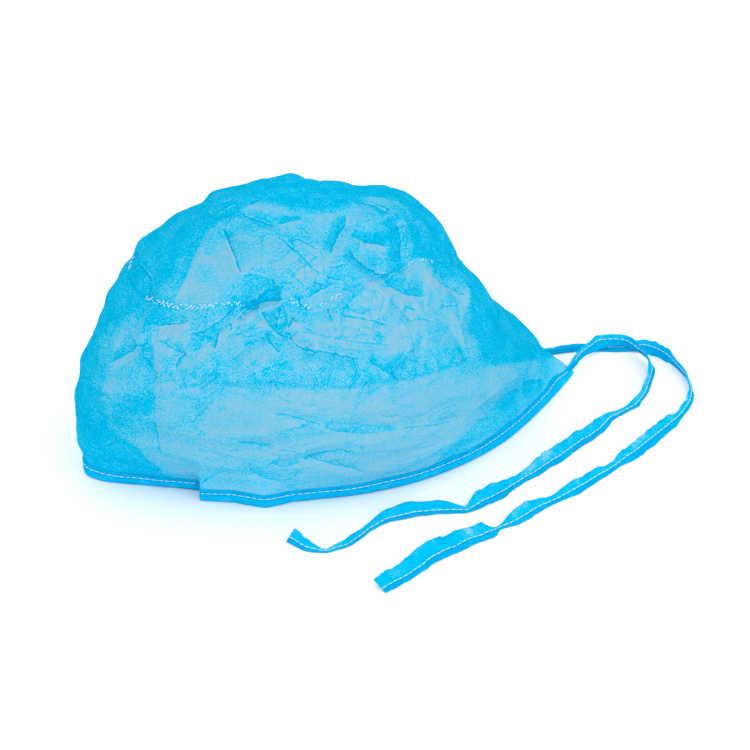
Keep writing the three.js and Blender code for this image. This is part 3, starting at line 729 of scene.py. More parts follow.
def seam_level(angle):
    """The level of the crown seam at each angle."""
    starts, levels = np.array(SEAM_ROWS, float).T
    count = len(starts)
    turn = np.mod(angle, 360)
    k = np.searchsorted(starts, turn, side="right") - 1
    ends = np.append(starts[1:], 360)
    t = (turn - starts[k]) / (ends[k] - starts[k])
    return catmull(levels[k - 1], levels[k], levels[(k + 1) % count], levels[(k + 2) % count], t)


def fold_points(row):
    """Points along a main fold, on the smooth form."""
    t = np.linspace(0, 1, FOLD_PIECES + 1)
    angle = row["from_angle"] + (row["to_angle"] - row["from_angle"]) * t
    level = row["from_level"] + (row["to_level"] - row["from_level"]) * t
    return smooth_points(angle, level)


class NearLine:
    """Points within reach of a line of short pieces: their distance, their share of it and their side."""

    def __init__(self, points, line, reach):
        middle = (line[0] + line[-1]) / 2
        radius = np.linalg.norm(line - middle, axis=1).max() + reach
        self.picks = np.flatnonzero(((points - middle) ** 2).sum(1) < radius * radius)
        close = points[self.picks]
        outward = close - np.array([PUSH_CENTRE_X, 0, PUSH_LEVEL_Z])
        self.distance = np.full(len(close), np.inf)
        self.share = np.zeros(len(close))
        self.right = np.zeros(len(close))
        pieces = len(line) - 1
        for k in range(pieces):
            along = line[k + 1] - line[k]
            t = np.clip((close - line[k]) @ along / (along @ along), 0, 1)
            offset = close - line[k] - t[:, None] * along
            distance = np.linalg.norm(offset, axis=1)
            closer = distance < self.distance
            right = (np.cross(along, outward) * offset).sum(1)
            self.distance = np.where(closer, distance, self.distance)
            self.share = np.where(closer, (k + t) / pieces, self.share)
            self.right = np.where(closer, right, self.right)

    def fade(self, ends):
        """1 along the line, fading to 0 within this share of its length at both ends."""
        return ramp(self.share, 0, ends) * ramp(1 - self.share, 0, ends)


def soft_folds(points):
    """Height of the main folds: soft flanks that meet in a sharp valley, or a round ridge."""
    height = np.zeros(len(points))
    for row in table(FOLD_COLUMNS, FOLD_ROWS):
        near = NearLine(points, fold_points(row), FOLD_REACH * row["width"])
        if row["depth"] > 0:
            shape = np.exp(-near.distance / (FOLD_VALLEY * row["width"]))
        else:
            shape = bell(near.distance, row["width"])
        height[near.picks] -= FOLD_SHARE * row["depth"] * shape
    return height


def crease_points(row, far):
    """Points along a charted crease, bent through its middle place."""
    t = np.linspace(-1, 1, CREASE_PIECES + 1)
    places = []
    for name in ("angle", "level"):
        a, b, c = row[name + "_a"], row[name + "_b"], row[name + "_c"]
        places.append(b + (c - a) / 2 * t + ((a + c) / 2 - b) * t * t)
    angle, level = places
    return smooth_points(360 - FAR_SHIFT - angle if far else angle, level)


def sharp_creases(points):
    """Height of the charted creases on both sides, the painted shade on their flanks, and their lines.

    A line is given by the signed distance from the nearest crease, above zero on its deeper side, and by
    that crease's strength.
    """
    height = np.zeros(len(points))
    tone = np.zeros(len(points))
    nearest = np.full(len(points), NOWHERE_NEAR)
    side = np.full(len(points), NOWHERE_NEAR)
    strength = np.zeros(len(points))
    for row in table(CREASE_COLUMNS, CREASE_ROWS):
        width = CREASE_WIDTH + CREASE_WIDENS * row["depth"]
        reach = abs(row["reach"])
        for far in (False, True):
            near = NearLine(points, crease_points(row, far), max(width, reach))
            valley = np.clip(1 - near.distance / width, 0, None)
            height[near.picks] -= row["depth"] * valley * near.fade(FOLD_FADE)
            beside = near.right * row["reach"] * (-1 if far else 1) > 0
            flank = beside * np.clip(1 - (near.distance / reach) ** FLANK_ROUNDNESS, 0, None)
            # Painted shade that fades away from the crease on one side, painted light where the flank is
            # below zero
            tone[near.picks] += FLANK_SHADE_SHARE * row["flank"] * flank * near.fade(FLANK_FADE)
            drawn = near.fade(LINE_FADE)
            away = near.distance + LINE_END_AWAY * (1 - drawn)
            closer = away < nearest[near.picks]
            picks = near.picks[closer]
            nearest[picks] = away[closer]
            side[picks] = np.where(beside, near.distance, -near.distance)[closer]
            strength[picks] = row["line"] * drawn[closer]
    return height, tone, side, strength


def patch_tone(points):
    """How deep the patches colour the cloth."""
    tone = np.zeros(len(points))
    for row in table(PATCH_COLUMNS, PATCH_ROWS):
        middle = smooth_points(np.array([row["angle"]], float), np.array([row["level"]], float))
        tone += row["tone"] * bell(np.linalg.norm(points - middle, axis=1), row["reach"])
    return tone


class Facets:
    """Flat facets with sharp creases between them: corners of random height, joined by triangles."""

    def __init__(self, random, span, along, up, relief):
        self.span = span
        columns = max(3, round(span[0] / along))
        rows = math.ceil(span[1] / up) + 3
        i, j = np.meshgrid(np.arange(rows) - 1.0, np.arange(columns), indexing="ij")
        s = (j + 0.5 * (i % 2) + random.uniform(-FACET_JITTER, FACET_JITTER, i.shape)) / columns
        t = i + random.uniform(-FACET_JITTER, FACET_JITTER, i.shape)
        height = relief * random.uniform(-1, 1, i.shape)
        turns = np.array([-1, 0, 1])[:, None]
        s = (s.ravel() + turns).ravel()
        t = np.tile(t.ravel(), 3)
        height = np.tile(height.ravel(), 3)
        keep = np.abs(s - 0.5) < 0.5 + 3 / columns
        corners = np.stack([s[keep] * columns, t[keep]], -1)
        self.cells = np.zeros((int(span[1] / FACET_CELL) + 2, int(span[0] / FACET_CELL)))
        scale = np.array([span[0] / columns, up]) / FACET_CELL
        self.join_corners(corners, scale, height[keep])

    def join_corners(self, corners, scale, height):
        """Fills the field of heights, one triangle after the other."""
        triangles = delaunay_2d_cdt([Vector(c) for c in corners], [], [], 0, 1e-6)[2]
        rows, columns = self.cells.shape
        for triangle in triangles:
            picks = list(triangle)
            (x0, y0), (x1, y1), (x2, y2) = corners[picks] * scale
            left, right = max(0, math.floor(min(x0, x1, x2))), min(columns - 1, math.ceil(max(x0, x1, x2)))
            low, high = max(0, math.floor(min(y0, y1, y2))), min(rows - 1, math.ceil(max(y0, y1, y2)))
            area = (x1 - x0) * (y2 - y0) - (x2 - x0) * (y1 - y0)
            if right < left or high < low or abs(area) < 1e-6:
                continue
            y, x = np.mgrid[low:high + 1, left:right + 1]
            b = ((x - x0) * (y2 - y0) - (x2 - x0) * (y - y0)) / area
            c = ((x1 - x0) * (y - y0) - (x - x0) * (y1 - y0)) / area
            inside = (b > -1e-3) & (c > -1e-3) & (b + c < 1.001)
            plane = height[picks[0]] * (1 - b - c) + height[picks[1]] * b + height[picks[2]] * c
            field = self.cells[low:high + 1, left:right + 1]
            field[inside] = plane[inside]

    def heights(self, s, t):
        """Height of the facets at places of their span, which repeats along s."""
        rows, columns = self.cells.shape
        x = np.mod(s, self.span[0]) / FACET_CELL
        y = np.clip(t / FACET_CELL, 0, rows - 1.001)
        i, j = y.astype(int), x.astype(int) % columns
        ahead = (j + 1) % columns
        fx, fy = x - np.floor(x), y - i
        low = self.cells[i, j] * (1 - fx) + self.cells[i, ahead] * fx
        high = self.cells[i + 1, j] * (1 - fx) + self.cells[i + 1, ahead] * fx
        return low * (1 - fy) + high * fy


class Cloth:
    """The folded cloth of the cap, with the marks that its finish needs."""

    def __init__(self, settings):
        random = np.random.default_rng(settings.seed)
        self.strength = settings.crumple
        self.zones = {"crown": [], "upper": [], "lower": []}
        girth = (2 * math.pi * GIRTH_RADIUS, PANEL_LEVELS * LEVEL_HEIGHT)
        for row in table(FACET_COLUMNS, FACET_ROWS):
            span = CROWN_SPAN if row["zone"] == "crown" else girth
            self.zones[row["zone"]].append(Facets(random, span, row["along"], row["up"], row["relief"]))

    def facets(self, angle, level, smooth):
        """Height of the crumple's facets, laid round the panel and across the crown in slight waves."""
        sway, lean = (
            sum(height * np.sin(smooth @ turn + start) for height, turn, start in rows)
            for rows in FACET_WAVES
        )
        panel_place = np.radians(angle) * GIRTH_RADIUS + sway, level * LEVEL_HEIGHT + lean
        across, deep = (middle - span / 2 for middle, span in zip(CROWN_MIDDLE, CROWN_SPAN))
        crown_place = smooth[..., 0] - across + sway, smooth[..., 1] - deep + lean
        places = {"crown": crown_place, "upper": panel_place, "lower": panel_place}
        height = {}
        for zone, layers in self.zones.items():
            height[zone] = sum(layer.heights(*places[zone]) for layer in layers)
        panel = height["lower"] + (height["upper"] - height["lower"]) * ramp(level, *UPPER_HALF)
        return panel + (height["crown"] - panel) * ramp(level - seam_level(angle), *CROWN_BLEND)

    def gathers(self, angle, level):
        """Height of the seam's pinch, its gathers and the rim's waves."""
        from_seam = level - seam_level(angle)
        height = -SEAM_PINCH * bell(from_seam, SEAM_PINCH_LEVELS)
        wave = 0.5 - 0.5 * np.cos(np.radians(GATHER_COUNT * angle))
        height = height - GATHER_DEPTH * wave * bell(from_seam, GATHER_LEVELS)
        angles, outs = np.array(RIM_ROWS, float).T
        return height + np.interp(np.mod(angle, 360), angles, outs) * bell(level, RIM_FADE_LEVELS)

    def push(self, smooth):
        """The way in which folds move the cloth."""
        rise = np.maximum(0, smooth[..., 2] - PUSH_LEVEL_Z)
        return unit(np.stack([smooth[..., 0] - PUSH_CENTRE_X, smooth[..., 1], rise], -1))

    def points(self, angle, level):
        """Points of the folded cloth, in millimetres."""
        return self.fold(angle, level)[0]

    def fold(self, angle, level):
        """Points of the folded cloth, its relief, the creases' painted shade with the patches' tone, and
        the creases' distance and strength.
        """
        smooth = smooth_points(angle, level)
        flat = smooth.reshape(-1, 3)
        creases, tone, side, strength = sharp_creases(flat)
        tone = (tone + patch_tone(flat)).reshape(level.shape)
        crumple = self.strength * self.facets(angle, level, smooth)
        ledge = TUCK_LEDGE * tuck_share(angle, level, *TUCK_LEDGE_PLACE)
        relief = crumple + ledge + (soft_folds(flat) + creases).reshape(level.shape)
        height = self.gathers(angle, level) + ramp(level, *RIM_CALM) * relief
        points = smooth + height[..., None] * self.push(smooth)
        return points, relief, tone, side.reshape(level.shape), strength.reshape(level.shape)


MADE_CLOTH = {}


def cap_cloth(settings):
    """The cap's folded cloth, worked out once for its settings."""
    key = settings.seed, settings.crumple
    if key not in MADE_CLOTH:
        MADE_CLOTH[key] = Cloth(settings)
    return MADE_CLOTH[key]


def tuck_share(angle, level, rise, full):
    """1 on the tuck: rising across its lower edge, in millimetres, and full up to a share of its band."""
    turn = np.mod(angle, 360)
    above = np.full(angle.shape, -NOWHERE_NEAR)
    present = np.zeros(angle.shape)
    for rows in (TUCK_NEAR_ROWS, TUCK_FAR_ROWS):
        angles, levels = np.array(rows, float).T
        inside = ramp(turn, angles[0], angles[0] + TUCK_FADE_ANGLE)
        inside = inside * (1 - ramp(turn, angles[-1] - TUCK_FADE_ANGLE, angles[-1]))
        edge = np.interp(turn, angles, levels)
        above = np.where(inside > 0, (level - edge) * LEVEL_HEIGHT, above)
        present = np.maximum(present, inside)
    return present * ramp(above, *rise) * (1 - ramp(above, full * TUCK_BAND, TUCK_END * TUCK_BAND))


def level_at_height(angle, height):
    """The level at which the smooth form reaches a height, found by halving."""
    low = np.zeros_like(angle)
    high = np.full_like(angle, HIGHEST_FOOT)
    for _ in range(HALVINGS):
        middle = (low + high) / 2
        under = smooth_points(angle, middle)[..., 2] < height
        low = np.where(under, middle, low)
        high = np.where(under, high, middle)
    return low


def panel_edge_height(angle, base):
    """Height of the panel's lower edge: level, with an arch over the back opening."""
    turn = np.where(angle > 180, angle - 360, angle)
    share = np.clip((turn - (NEAR_END - 360)) / (FAR_END - (NEAR_END - 360)), 0, 1)
    return base + OPENING_RISE * np.sin(np.pi * share) ** OPENING_ROUNDNESS


def new_object(name, vertices, faces, uvs=None, marks=None):
    """A mesh object from millimetre points, with a UV place for each corner and marks for each point."""
    mesh = bpy.data.meshes.new(name)
    mesh.from_pydata((np.asarray(vertices) * MM).tolist(), [], [list(f) for f in faces])
    if uvs is not None:
        layer = mesh.uv_layers.new(name="cloth")
        layer.data.foreach_set("uv", np.asarray(uvs, np.float32).ravel())
    for mark, values in (marks or {}).items():
        layer = mesh.attributes.new(mark, "FLOAT", "POINT")
        layer.data.foreach_set("value", np.asarray(values, np.float32).ravel())
    mesh.shade_smooth()
    mesh.update()
    piece = bpy.data.objects.new(name, mesh)
    bpy.context.scene.collection.objects.link(piece)
    return piece


def grid_faces(rows, columns, ring):
    """Faces of a grid of points, and for each face corner its row and column."""
    last = columns if ring else columns - 1
    i, j = np.meshgrid(np.arange(rows - 1), np.arange(last), indexing="ij")
    i, j = i.ravel(), j.ravel()
    corner_rows = np.stack([i, i, i + 1, i + 1], -1)
    corner_columns = np.stack([j, j + 1, j + 1, j], -1)
    return corner_rows * columns + corner_columns % columns, corner_rows, corner_columns


def bake_modifiers(piece):
    """Turns a piece with its modifiers into a plain mesh."""
    graph = bpy.context.evaluated_depsgraph_get()
    mesh = bpy.data.meshes.new_from_object(piece.evaluated_get(graph), depsgraph=graph)
    old = piece.data
    piece.modifiers.clear()
    piece.data = mesh
    bpy.data.meshes.remove(old)
    mesh.name = piece.name


def seat(piece, slot, *nodes):
    """Lets a piece ride on the cap's body and stand for its CAD nodes."""
    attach(piece, BODY)
    if nodes:
        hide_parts(*nodes)


def margin(angle, level):
    """1 in the deep margins at the front, the back and the top, 0 on the sides between them."""
    turn = np.mod(angle, 360)
    turn = np.where(turn < 180, 360 - turn - FAR_FRONT * ramp(turn, *FAR_FRONT_ANGLES), turn)
    far = ramp(np.sin(np.radians(angle)), *FAR_SIDE)
    hidden = far * (1 - ramp(level, *FAR_LEVELS))
    turn = turn + FAR_SWAY * hidden * np.sin(FAR_WAVES * level)
    blur = MARGIN_BLUR + FAR_BLUR * hidden
    levels, front, back = np.array(MARGIN_ROWS, float).T
    behind_front = ramp((turn - np.interp(level, levels, front)) / blur, -1, 1)
    before_back = ramp((np.interp(level, levels, back) - turn) / blur, -1, 1)
    deep = 1 - behind_front * before_back * (1 - ramp(level + FAR_TOP * far, *TOP_MARGIN))
    away = np.cos(np.radians(angle - AWAY_ANGLE)) - np.interp(level, AWAY_LEVELS, AWAY_LIMITS)
    first, last = AWAY_RANGE
    first = first - AWAY_START * (1 - ramp(level, *AWAY_START_LEVELS))
    return deep * (1 - AWAY_CALM * ramp(away, first, last))


def cloth_marks(angle, level, relief, tone, side, strength):
    """The marks that colour the cloth: its tone, from thin and pale to dense and deep, painted shade
    included, its painted light and its zones.
    """
    smooth = smooth_points(angle, level)
    ahead, behind = np.roll(relief, -1, 1), np.roll(relief, 1, 1)
    round_step = np.linalg.norm(np.roll(smooth, -1, 1) - smooth, axis=-1) + LEAST_STEP
    up_step = np.linalg.norm(np.gradient(smooth, axis=0), axis=-1) + LEAST_STEP
    over, under = np.vstack([relief[1:], relief[-1:]]), np.vstack([relief[:1], relief[:-1]])
    bend = (ahead + behind - 2 * relief) / round_step + (over + under - 2 * relief) / up_step
    lean = (over - under) / (2 * up_step)
    turn = (ahead - behind) / (2 * round_step)
    upright = ramp(level, *UPPER_HALF)
    # Painted shade on facets that face down, painted light on those that face up
    facet_shade = np.clip(LEAN_SHADE * lean - TURN_SHADE * turn, *FACET_SHADE_LIMITS) * (LOW_FACET_SHADE + (1 - LOW_FACET_SHADE) * upright)
    # Painted shade in the relief's hollows, painted highlight on its ridges
    sharp = VALLEY_SHADE * ramp(bend, *VALLEY_BEND) - RIDGE_HIGHLIGHT * ramp(-bend, *RIDGE_BEND)
    edge = margin(angle, level)
    seam = SEAM_TONE * bell((level - seam_level(angle)) * LEVEL_HEIGHT, SEAM_WIDTH)
    upper = ramp(level, *UPPER_PALE_FROM) * (1 - ramp(level, *UPPER_PALE_TO))
    broad = BASE_TONE - UPPER_PALE * upper + EDGE_TONE * edge
    broad = broad + (1 - EDGE_CALM * edge) * (facet_shade + sharp) + tone
    # Painted light just above the binding and on the crown top
    low_painted_light = LOW_PAINTED_LIGHT * (1 - ramp(level, *LOW_PAINTED_LIGHT_LEVELS))
    return {
        "tone": np.minimum(broad, MOST_TONE) + seam,
        "side": side,
        "strength": strength,
        "edge": edge,
        "tuck": tuck_share(angle, level, *TUCK_TONE_PLACE),
        "upright": upright,
        "painted_light": low_painted_light + TOP_PAINTED_LIGHT * ramp(level, *TOP_PAINTED_LIGHT_LEVELS),
    }


def new_material(name):
    """A material with a cleared node tree, that tree and the input for its surface."""
    material = bpy.data.materials.new(name)
    material.use_nodes = True
    tree = material.node_tree
    tree.nodes.clear()
    return material, tree, tree.nodes.new("ShaderNodeOutputMaterial").inputs["Surface"]


def plug(tree, value, socket):
    """Gives an input another node's output or a plain value."""
    if isinstance(value, bpy.types.NodeSocket):
        tree.links.new(value, socket)
    else:
        socket.default_value = value


def add_node(tree, kind, inputs=None, **settings):
    """A node with its settings, and with inputs by name or number, each an output or a plain value."""
    node = tree.nodes.new(kind)
    for name, value in settings.items():
        setattr(node, name, value)
    for key, value in (inputs or {}).items():
        plug(tree, value, node.inputs[key])
    return node


def math_node(tree, operation, *values, clamp=False):
    """A sum, product or other result of numbers."""
    node = add_node(tree, "ShaderNodeMath", dict(enumerate(values)), operation=operation, use_clamp=clamp)
    return node.outputs[0]


def vector_node(tree, operation, *values):
    """The outputs of a sum, product or other result of vectors."""
    return add_node(tree, "ShaderNodeVectorMath", dict(enumerate(values)), operation=operation).outputs


def mapped(tree, value, low, high, to_low=0.0, to_high=1.0):
    """A value brought smoothly from one range to another."""
    inputs = {"Value": value, "From Min": low, "From Max": high, "To Min": to_low, "To Max": to_high}
    node = add_node(tree, "ShaderNodeMapRange", inputs, interpolation_type="SMOOTHSTEP")
    return node.outputs["Result"]


def colour_mix(tree, factor, first, second):
    """A mix of two colours."""
    inputs = {"Factor": factor}
    for place, colour in ((6, first), (7, second)):
        inputs[place] = colour if isinstance(colour, bpy.types.NodeSocket) else (*colour, 1.0)
    return add_node(tree, "ShaderNodeMix", inputs, data_type="RGBA").outputs[2]


def mark_node(tree, name):
    """A piece's own mark, as a number."""
    return add_node(tree, "ShaderNodeAttribute", attribute_name=name).outputs["Fac"]


def cloth_place(tree):
    """The place on the flat cloth, in metres."""
    return add_node(tree, "ShaderNodeUVMap", uv_map="cloth").outputs[0]


def bond_points(tree, pitch, raggedness, small, large):
    """The diamond grid of small bonded points, 1 on a point."""
    turn = {"Vector": cloth_place(tree), "Rotation": (0, 0, math.radians(45))}
    turned = add_node(tree, "ShaderNodeMapping", turn).outputs[0]
    cells = {"Vector": turned, "Scale": 1 / pitch, "Randomness": raggedness}
    grid = add_node(tree, "ShaderNodeTexVoronoi", cells, voronoi_dimensions="2D")
    return mapped(tree, grid.outputs["Distance"], small, large, 1.0, 0.0)


def crinkle(tree, size, stretch):
    """Small flat facets on the cloth: painted shade fading across each, and thin painted shade lines
    between them.
    """
    place = cloth_place(tree)
    waves = {"Vector": place, "Scale": 60.0, "Detail": 1.0}
    sway = add_node(tree, "ShaderNodeTexNoise", waves, noise_dimensions="2D").outputs["Color"]
    moved = vector_node(tree, "MULTIPLY_ADD", sway, (0.4 * size,) * 3, place)[0]
    squeeze = {"Vector": moved, "Scale": (1 / stretch, 1.0, 1.0)}
    flat = add_node(tree, "ShaderNodeMapping", squeeze).outputs[0]
    cells = {"Vector": flat, "Scale": 1 / size}
    facets, edges = (
        add_node(tree, "ShaderNodeTexVoronoi", cells, voronoi_dimensions="2D", feature=feature).outputs
        for feature in ("F1", "DISTANCE_TO_EDGE")
    )
    offset = vector_node(tree, "SUBTRACT", flat, facets["Position"])[0]
    way = vector_node(tree, "SUBTRACT", facets["Color"], (0.5, 0.5, 0.5))[0]
    slope = vector_node(tree, "DOT_PRODUCT", offset, way)["Value"]
    lines = mapped(tree, edges["Distance"], 0.0, CRINKLE_WIDTH / size, 1.0, 0.0)
    return product(tree, slope, 2.0 / size), lines


def product(tree, first, second):
    """One value times another."""
    return math_node(tree, "MULTIPLY", first, second)


def added(tree, base, value, share, clamp=False):
    """A base value with a share of another one added to it."""
    return math_node(tree, "MULTIPLY_ADD", value, share, base, clamp=clamp)


def noise(tree, scale, detail):
    """Even noise in the object's own space, about 0.5."""
    place = add_node(tree, "ShaderNodeTexCoord").outputs["Object"]
    node = add_node(tree, "ShaderNodeTexNoise", {"Vector": place, "Scale": scale, "Detail": detail})
    return node.outputs["Fac"]


def grain(tree, scale, detail, spread, lowest=-0.5):
    """Noise whose spread about its middle is brought to a range of 1."""
    return mapped(tree, noise(tree, scale, detail), 0.5 - spread, 0.5 + spread, lowest, lowest + 1)


def crease_shade_lines(tree):
    """The thin line of painted shade along each charted crease, and the painted highlight beside it."""
    sway = mapped(tree, noise(tree, scale=350.0, detail=1.0), 0.30, 0.70, -LINE_SWAY, LINE_SWAY)
    side = math_node(tree, "ADD", mark_node(tree, "side"), sway)
    deep = mapped(tree, math_node(tree, "ABSOLUTE", side), *LINE_WIDTHS, LINE_SHADE_SHARE, 0.0)
    beside = math_node(tree, "ABSOLUTE", math_node(tree, "ADD", side, RIDGE_AWAY))
    pale = mapped(tree, beside, *LINE_WIDTHS, RIDGE_HIGHLIGHT_SHARE, 0.0)
    return product(tree, math_node(tree, "SUBTRACT", deep, pale), mark_node(tree, "strength"))


def cloth_depth(tree, bonds, specks, dots):
    """How deep the cloth is coloured: its tone, painted shade included, with facets, mottle, fibres, the
    creases' painted shade and bonds.
    """
    upright = mark_node(tree, "upright")
    zones = {"upright": upright, "lying": math_node(tree, "SUBTRACT", 1.0, upright)}
    seen = mapped(tree, noise(tree, scale=45.0, detail=2.0), 0.45, 0.62)
    deep = mark_node(tree, "tone")
    for size, stretch, zone, share in CRINKLE_ROWS:
        facets, lines = crinkle(tree, size, stretch)
        shown = product(tree, product(tree, lines, seen), CRINKLE_LINE_SHADE * share)
        deep = added(tree, deep, added(tree, shown, facets, CRINKLE_SHADE * share), zones[zone])
    mottle_share = added(tree, MOTTLE_TONE, mark_node(tree, "edge"), MOTTLE_EDGE_TONE)
    deep = added(tree, deep, grain(tree, scale=85.0, detail=5.0, spread=0.18), mottle_share)
    deep = added(tree, deep, specks, mapped(tree, deep, 0.25, 0.75, 0.50, 1.15))
    deep = added(tree, deep, grain(tree, scale=600.0, detail=2.0, spread=0.18), FIBRE_TONE)
    # Painted shade along the charted creases and painted highlight beside them
    deep = math_node(tree, "ADD", deep, crease_shade_lines(tree))
    deep = added(tree, deep, mark_node(tree, "tuck"), TUCK_TONE)
    deep = added(tree, deep, bonds, BOND_TONE)
    return added(tree, deep, dots, DOT_TONE)


def dull_shader(tree, colour, height, bump, **values):
    """A shader without gloss, raised by a height; bump gives its strength and its size in metres."""
    relief = add_node(tree, "ShaderNodeBump", {"Height": height, "Strength": bump[0], "Distance": bump[1]})
    inputs = {"Base Color": colour, "Normal": relief.outputs[0], **values}
    return add_node(tree, "ShaderNodeBsdfPrincipled", inputs).outputs[0]


def soft_sheen(weight, roughness):
    """Shader values of cloth: no gloss, and a blue sheen."""
    return {
        "Specular IOR Level": 0.0,
        "Sheen Weight": weight,
        "Sheen Roughness": roughness,
        "Sheen Tint": SHEEN_TINT,
    }


def cloth_material(settings):
    """Thin non-woven: pale where one layer faces the light, deep with painted shade in creases and hollows,
    and deep in doubled cloth.
    """
    material, tree, surface = new_material("cap_cloth")
    bonds = bond_points(tree, settings.bond_pitch, raggedness=0.15, small=0.20, large=0.42)
    coarse = bond_points(tree, DOT_PITCH * settings.bond_pitch, raggedness=0.40, small=0.18, large=0.40)
    broken = mapped(tree, noise(tree, scale=240.0, detail=2.0), 0.40, 0.58, 0.1, 1.0)
    coarse = product(tree, coarse, broken)
    dots = product(tree, coarse, mark_node(tree, "tuck"))
    specks = grain(tree, scale=1500.0, detail=1.0, spread=0.16)
    depth = cloth_depth(tree, bonds, specks, dots)
    deep = mapped(tree, depth, -0.25, 0.92)
    colour = colour_mix(tree, deep, settings.pale, settings.deep)
    # Painted shade: the deepest crease lines and tones take the folded colour
    colour = colour_mix(tree, mapped(tree, depth, 1.1, 1.8), colour, settings.folded)
    colour = colour_mix(tree, mapped(tree, dots, 0.4, 1.0, 0.0, 0.15), colour, DOT_WHITE)
    # Painted light: the colour is scaled up just above the binding and on the crown top
    painted_lighter = {0: colour, "Scale": math_node(tree, "ADD", mark_node(tree, "painted_light"), 1.0)}
    colour = add_node(tree, "ShaderNodeVectorMath", painted_lighter, operation="SCALE").outputs[0]
    height = added(tree, specks, bonds, BOND_HEIGHT)
    see = mapped(tree, deep, 0.0, 1.0, 0.86, 0.97)
    sheen = soft_sheen(weight=0.25, roughness=0.35)
    front = dull_shader(tree, colour, height, bump=(0.30, 0.0002), Roughness=0.80, Alpha=see, **sheen)
    glow = add_node(tree, "ShaderNodeBsdfTranslucent", {"Color": colour}).outputs[0]
    both = add_node(tree, "ShaderNodeMixShader", {0: GLOW_SHARE, 1: front, 2: glow})
    plug(tree, both.outputs[0], surface)
    return material


def strip_material(settings):
    """Folded strip: pale where one layer stands open, deeper with each layer more."""
    material, tree, surface = new_material("cap_strip")
    specks = grain(tree, scale=1500.0, detail=2.0, spread=0.20, lowest=-0.36)
    patches = grain(tree, scale=150.0, detail=4.0, spread=0.20)
    layers = added(tree, mark_node(tree, "layers"), patches, STRIP_PATCHES)
    layers = added(tree, layers, specks, STRIP_SPECKS, clamp=True)
    colour = colour_mix(tree, mapped(tree, layers, 0.0, 0.40), settings.cloth.pale, settings.binding.colour)
    colour = colour_mix(tree, mapped(tree, layers, 0.45, 1.0), colour, settings.binding.deep)
    height = math_node(tree, "ADD", specks, patches)
    sheen = soft_sheen(weight=0.2, roughness=0.4)
    shader = dull_shader(tree, colour, height, bump=(0.35, 0.0003), Roughness=0.75, **sheen)
    plug(tree, shader, surface)
    return material


def thread_material():
    """White sewing thread with a fine twist."""
    material, tree, surface = new_material("cap_thread")
    twist = mapped(tree, noise(tree, scale=2600.0, detail=2.0), 0.3, 0.7)
    colour = colour_mix(tree, twist, *THREAD_WHITES)
    plug(tree, dull_shader(tree, colour, twist, bump=(0.3, 0.0001), Roughness=0.6), surface)
    return material


def shared_material(name, make):
    """A material by name, made when it is first needed."""
    return bpy.data.materials.get(name) or make()


def rim_turn(count):
    """Angles once round from the back, closer together on the near side."""
    turn = np.arange(count) / count
    closer = np.sin(2 * math.pi * (turn - NEAR_SHARE)) + math.sin(2 * math.pi * NEAR_SHARE)
    return 360 * (turn - NEAR_CLOSENESS / (2 * math.pi) * closer)


def running_lengths(points):
    """Distance run along the first axis of a grid of points, in millimetres."""
    steps = np.linalg.norm(np.diff(points, axis=0), axis=-1)
    return np.vstack([np.zeros((1, points.shape[1])), np.cumsum(steps, axis=0)])


class Skin:
    """One skin of a cloth ring: its points, UV places and marks, in rows from its lower edge upwards."""

    def __init__(self, points, uv, marks, top=None):
        self.points = points
        self.uv = uv
        self.marks = marks
        self.top = top

    def coarser(self, step, depth):
        """The skin's inner side: fewer points, moved inwards."""
        round_way = np.roll(self.points, -1, 1) - np.roll(self.points, 1, 1)
        up_way = np.gradient(self.points, axis=0)
        inner = self.points - depth * unit(np.cross(round_way, up_way))
        marks = {name: values[::step, ::step] for name, values in self.marks.items()}
        top = None if self.top is None else self.top - np.array([0, 0, depth])
        return Skin(inner[::step, ::step], self.uv[::step, ::step], marks, top)

    def vertices(self):
        """All points in one list, the top point last."""
        flat = self.points.reshape(-1, 3)
        return flat if self.top is None else np.vstack([flat, self.top])

    def mark_values(self, name):
        """A mark's value at each vertex."""
        values = self.marks[name].ravel()
        return values if self.top is None else np.append(values, values[-1])

    def faces(self, first, inside_out=False):
        """Faces with their corners' UV places, counted from the first vertex."""
        rows, columns = self.points.shape[:2]
        quads, corner_rows, corner_columns = grid_faces(rows, columns, True)
        places = self.uv[corner_rows, corner_columns]
        sets = [(quads, places)]
        if self.top is not None:
            j = np.arange(columns)
            ring = (rows - 1) * columns
            fan = np.stack([ring + j, ring + (j + 1) % columns, np.full(columns, rows * columns)], -1)
            middle = np.zeros((columns, 2))
            sets.append((fan, np.stack([self.uv[-1, j], self.uv[-1, j + 1], middle], 1)))
        if inside_out:
            sets = [(faces[:, ::-1], places[:, ::-1]) for faces, places in sets]
        return [(faces + first, places) for faces, places in sets]


def edge_faces(outer, inner, row, step, first_inner, upper):
    """Faces that close the gap between two skins along their lower or upper edge."""
    columns = outer.points.shape[1]
    inner_columns = inner.points.shape[1]
    outer_start = row * columns
    inner_start = first_inner + (inner.points.shape[0] - 1) * inner_columns * bool(row)
    faces = []
    for k in range(inner_columns):
        fine = [outer_start + (step * k + m) % columns for m in range(step + 1)]
        here, following = inner_start + k, inner_start + (k + 1) % inner_columns
        half = step // 2
        for m in range(step):
            faces.append((fine[m + 1], fine[m], here if m < half else following))
        faces.append((here, following, fine[half]))
    faces = np.array(faces)
    return faces[:, ::-1] if upper else faces


def sharpen(mesh, corners):
    """Keeps the edges between these points sharp, so that the skins are shaded each for itself."""
    ends = np.empty(2 * len(mesh.edges), np.int32)
    mesh.edges.foreach_get("vertices", ends)
    layer = mesh.attributes.new("sharp_edge", "BOOLEAN", "EDGE")
    layer.data.foreach_set("value", np.isin(ends.reshape(-1, 2), corners).all(1))


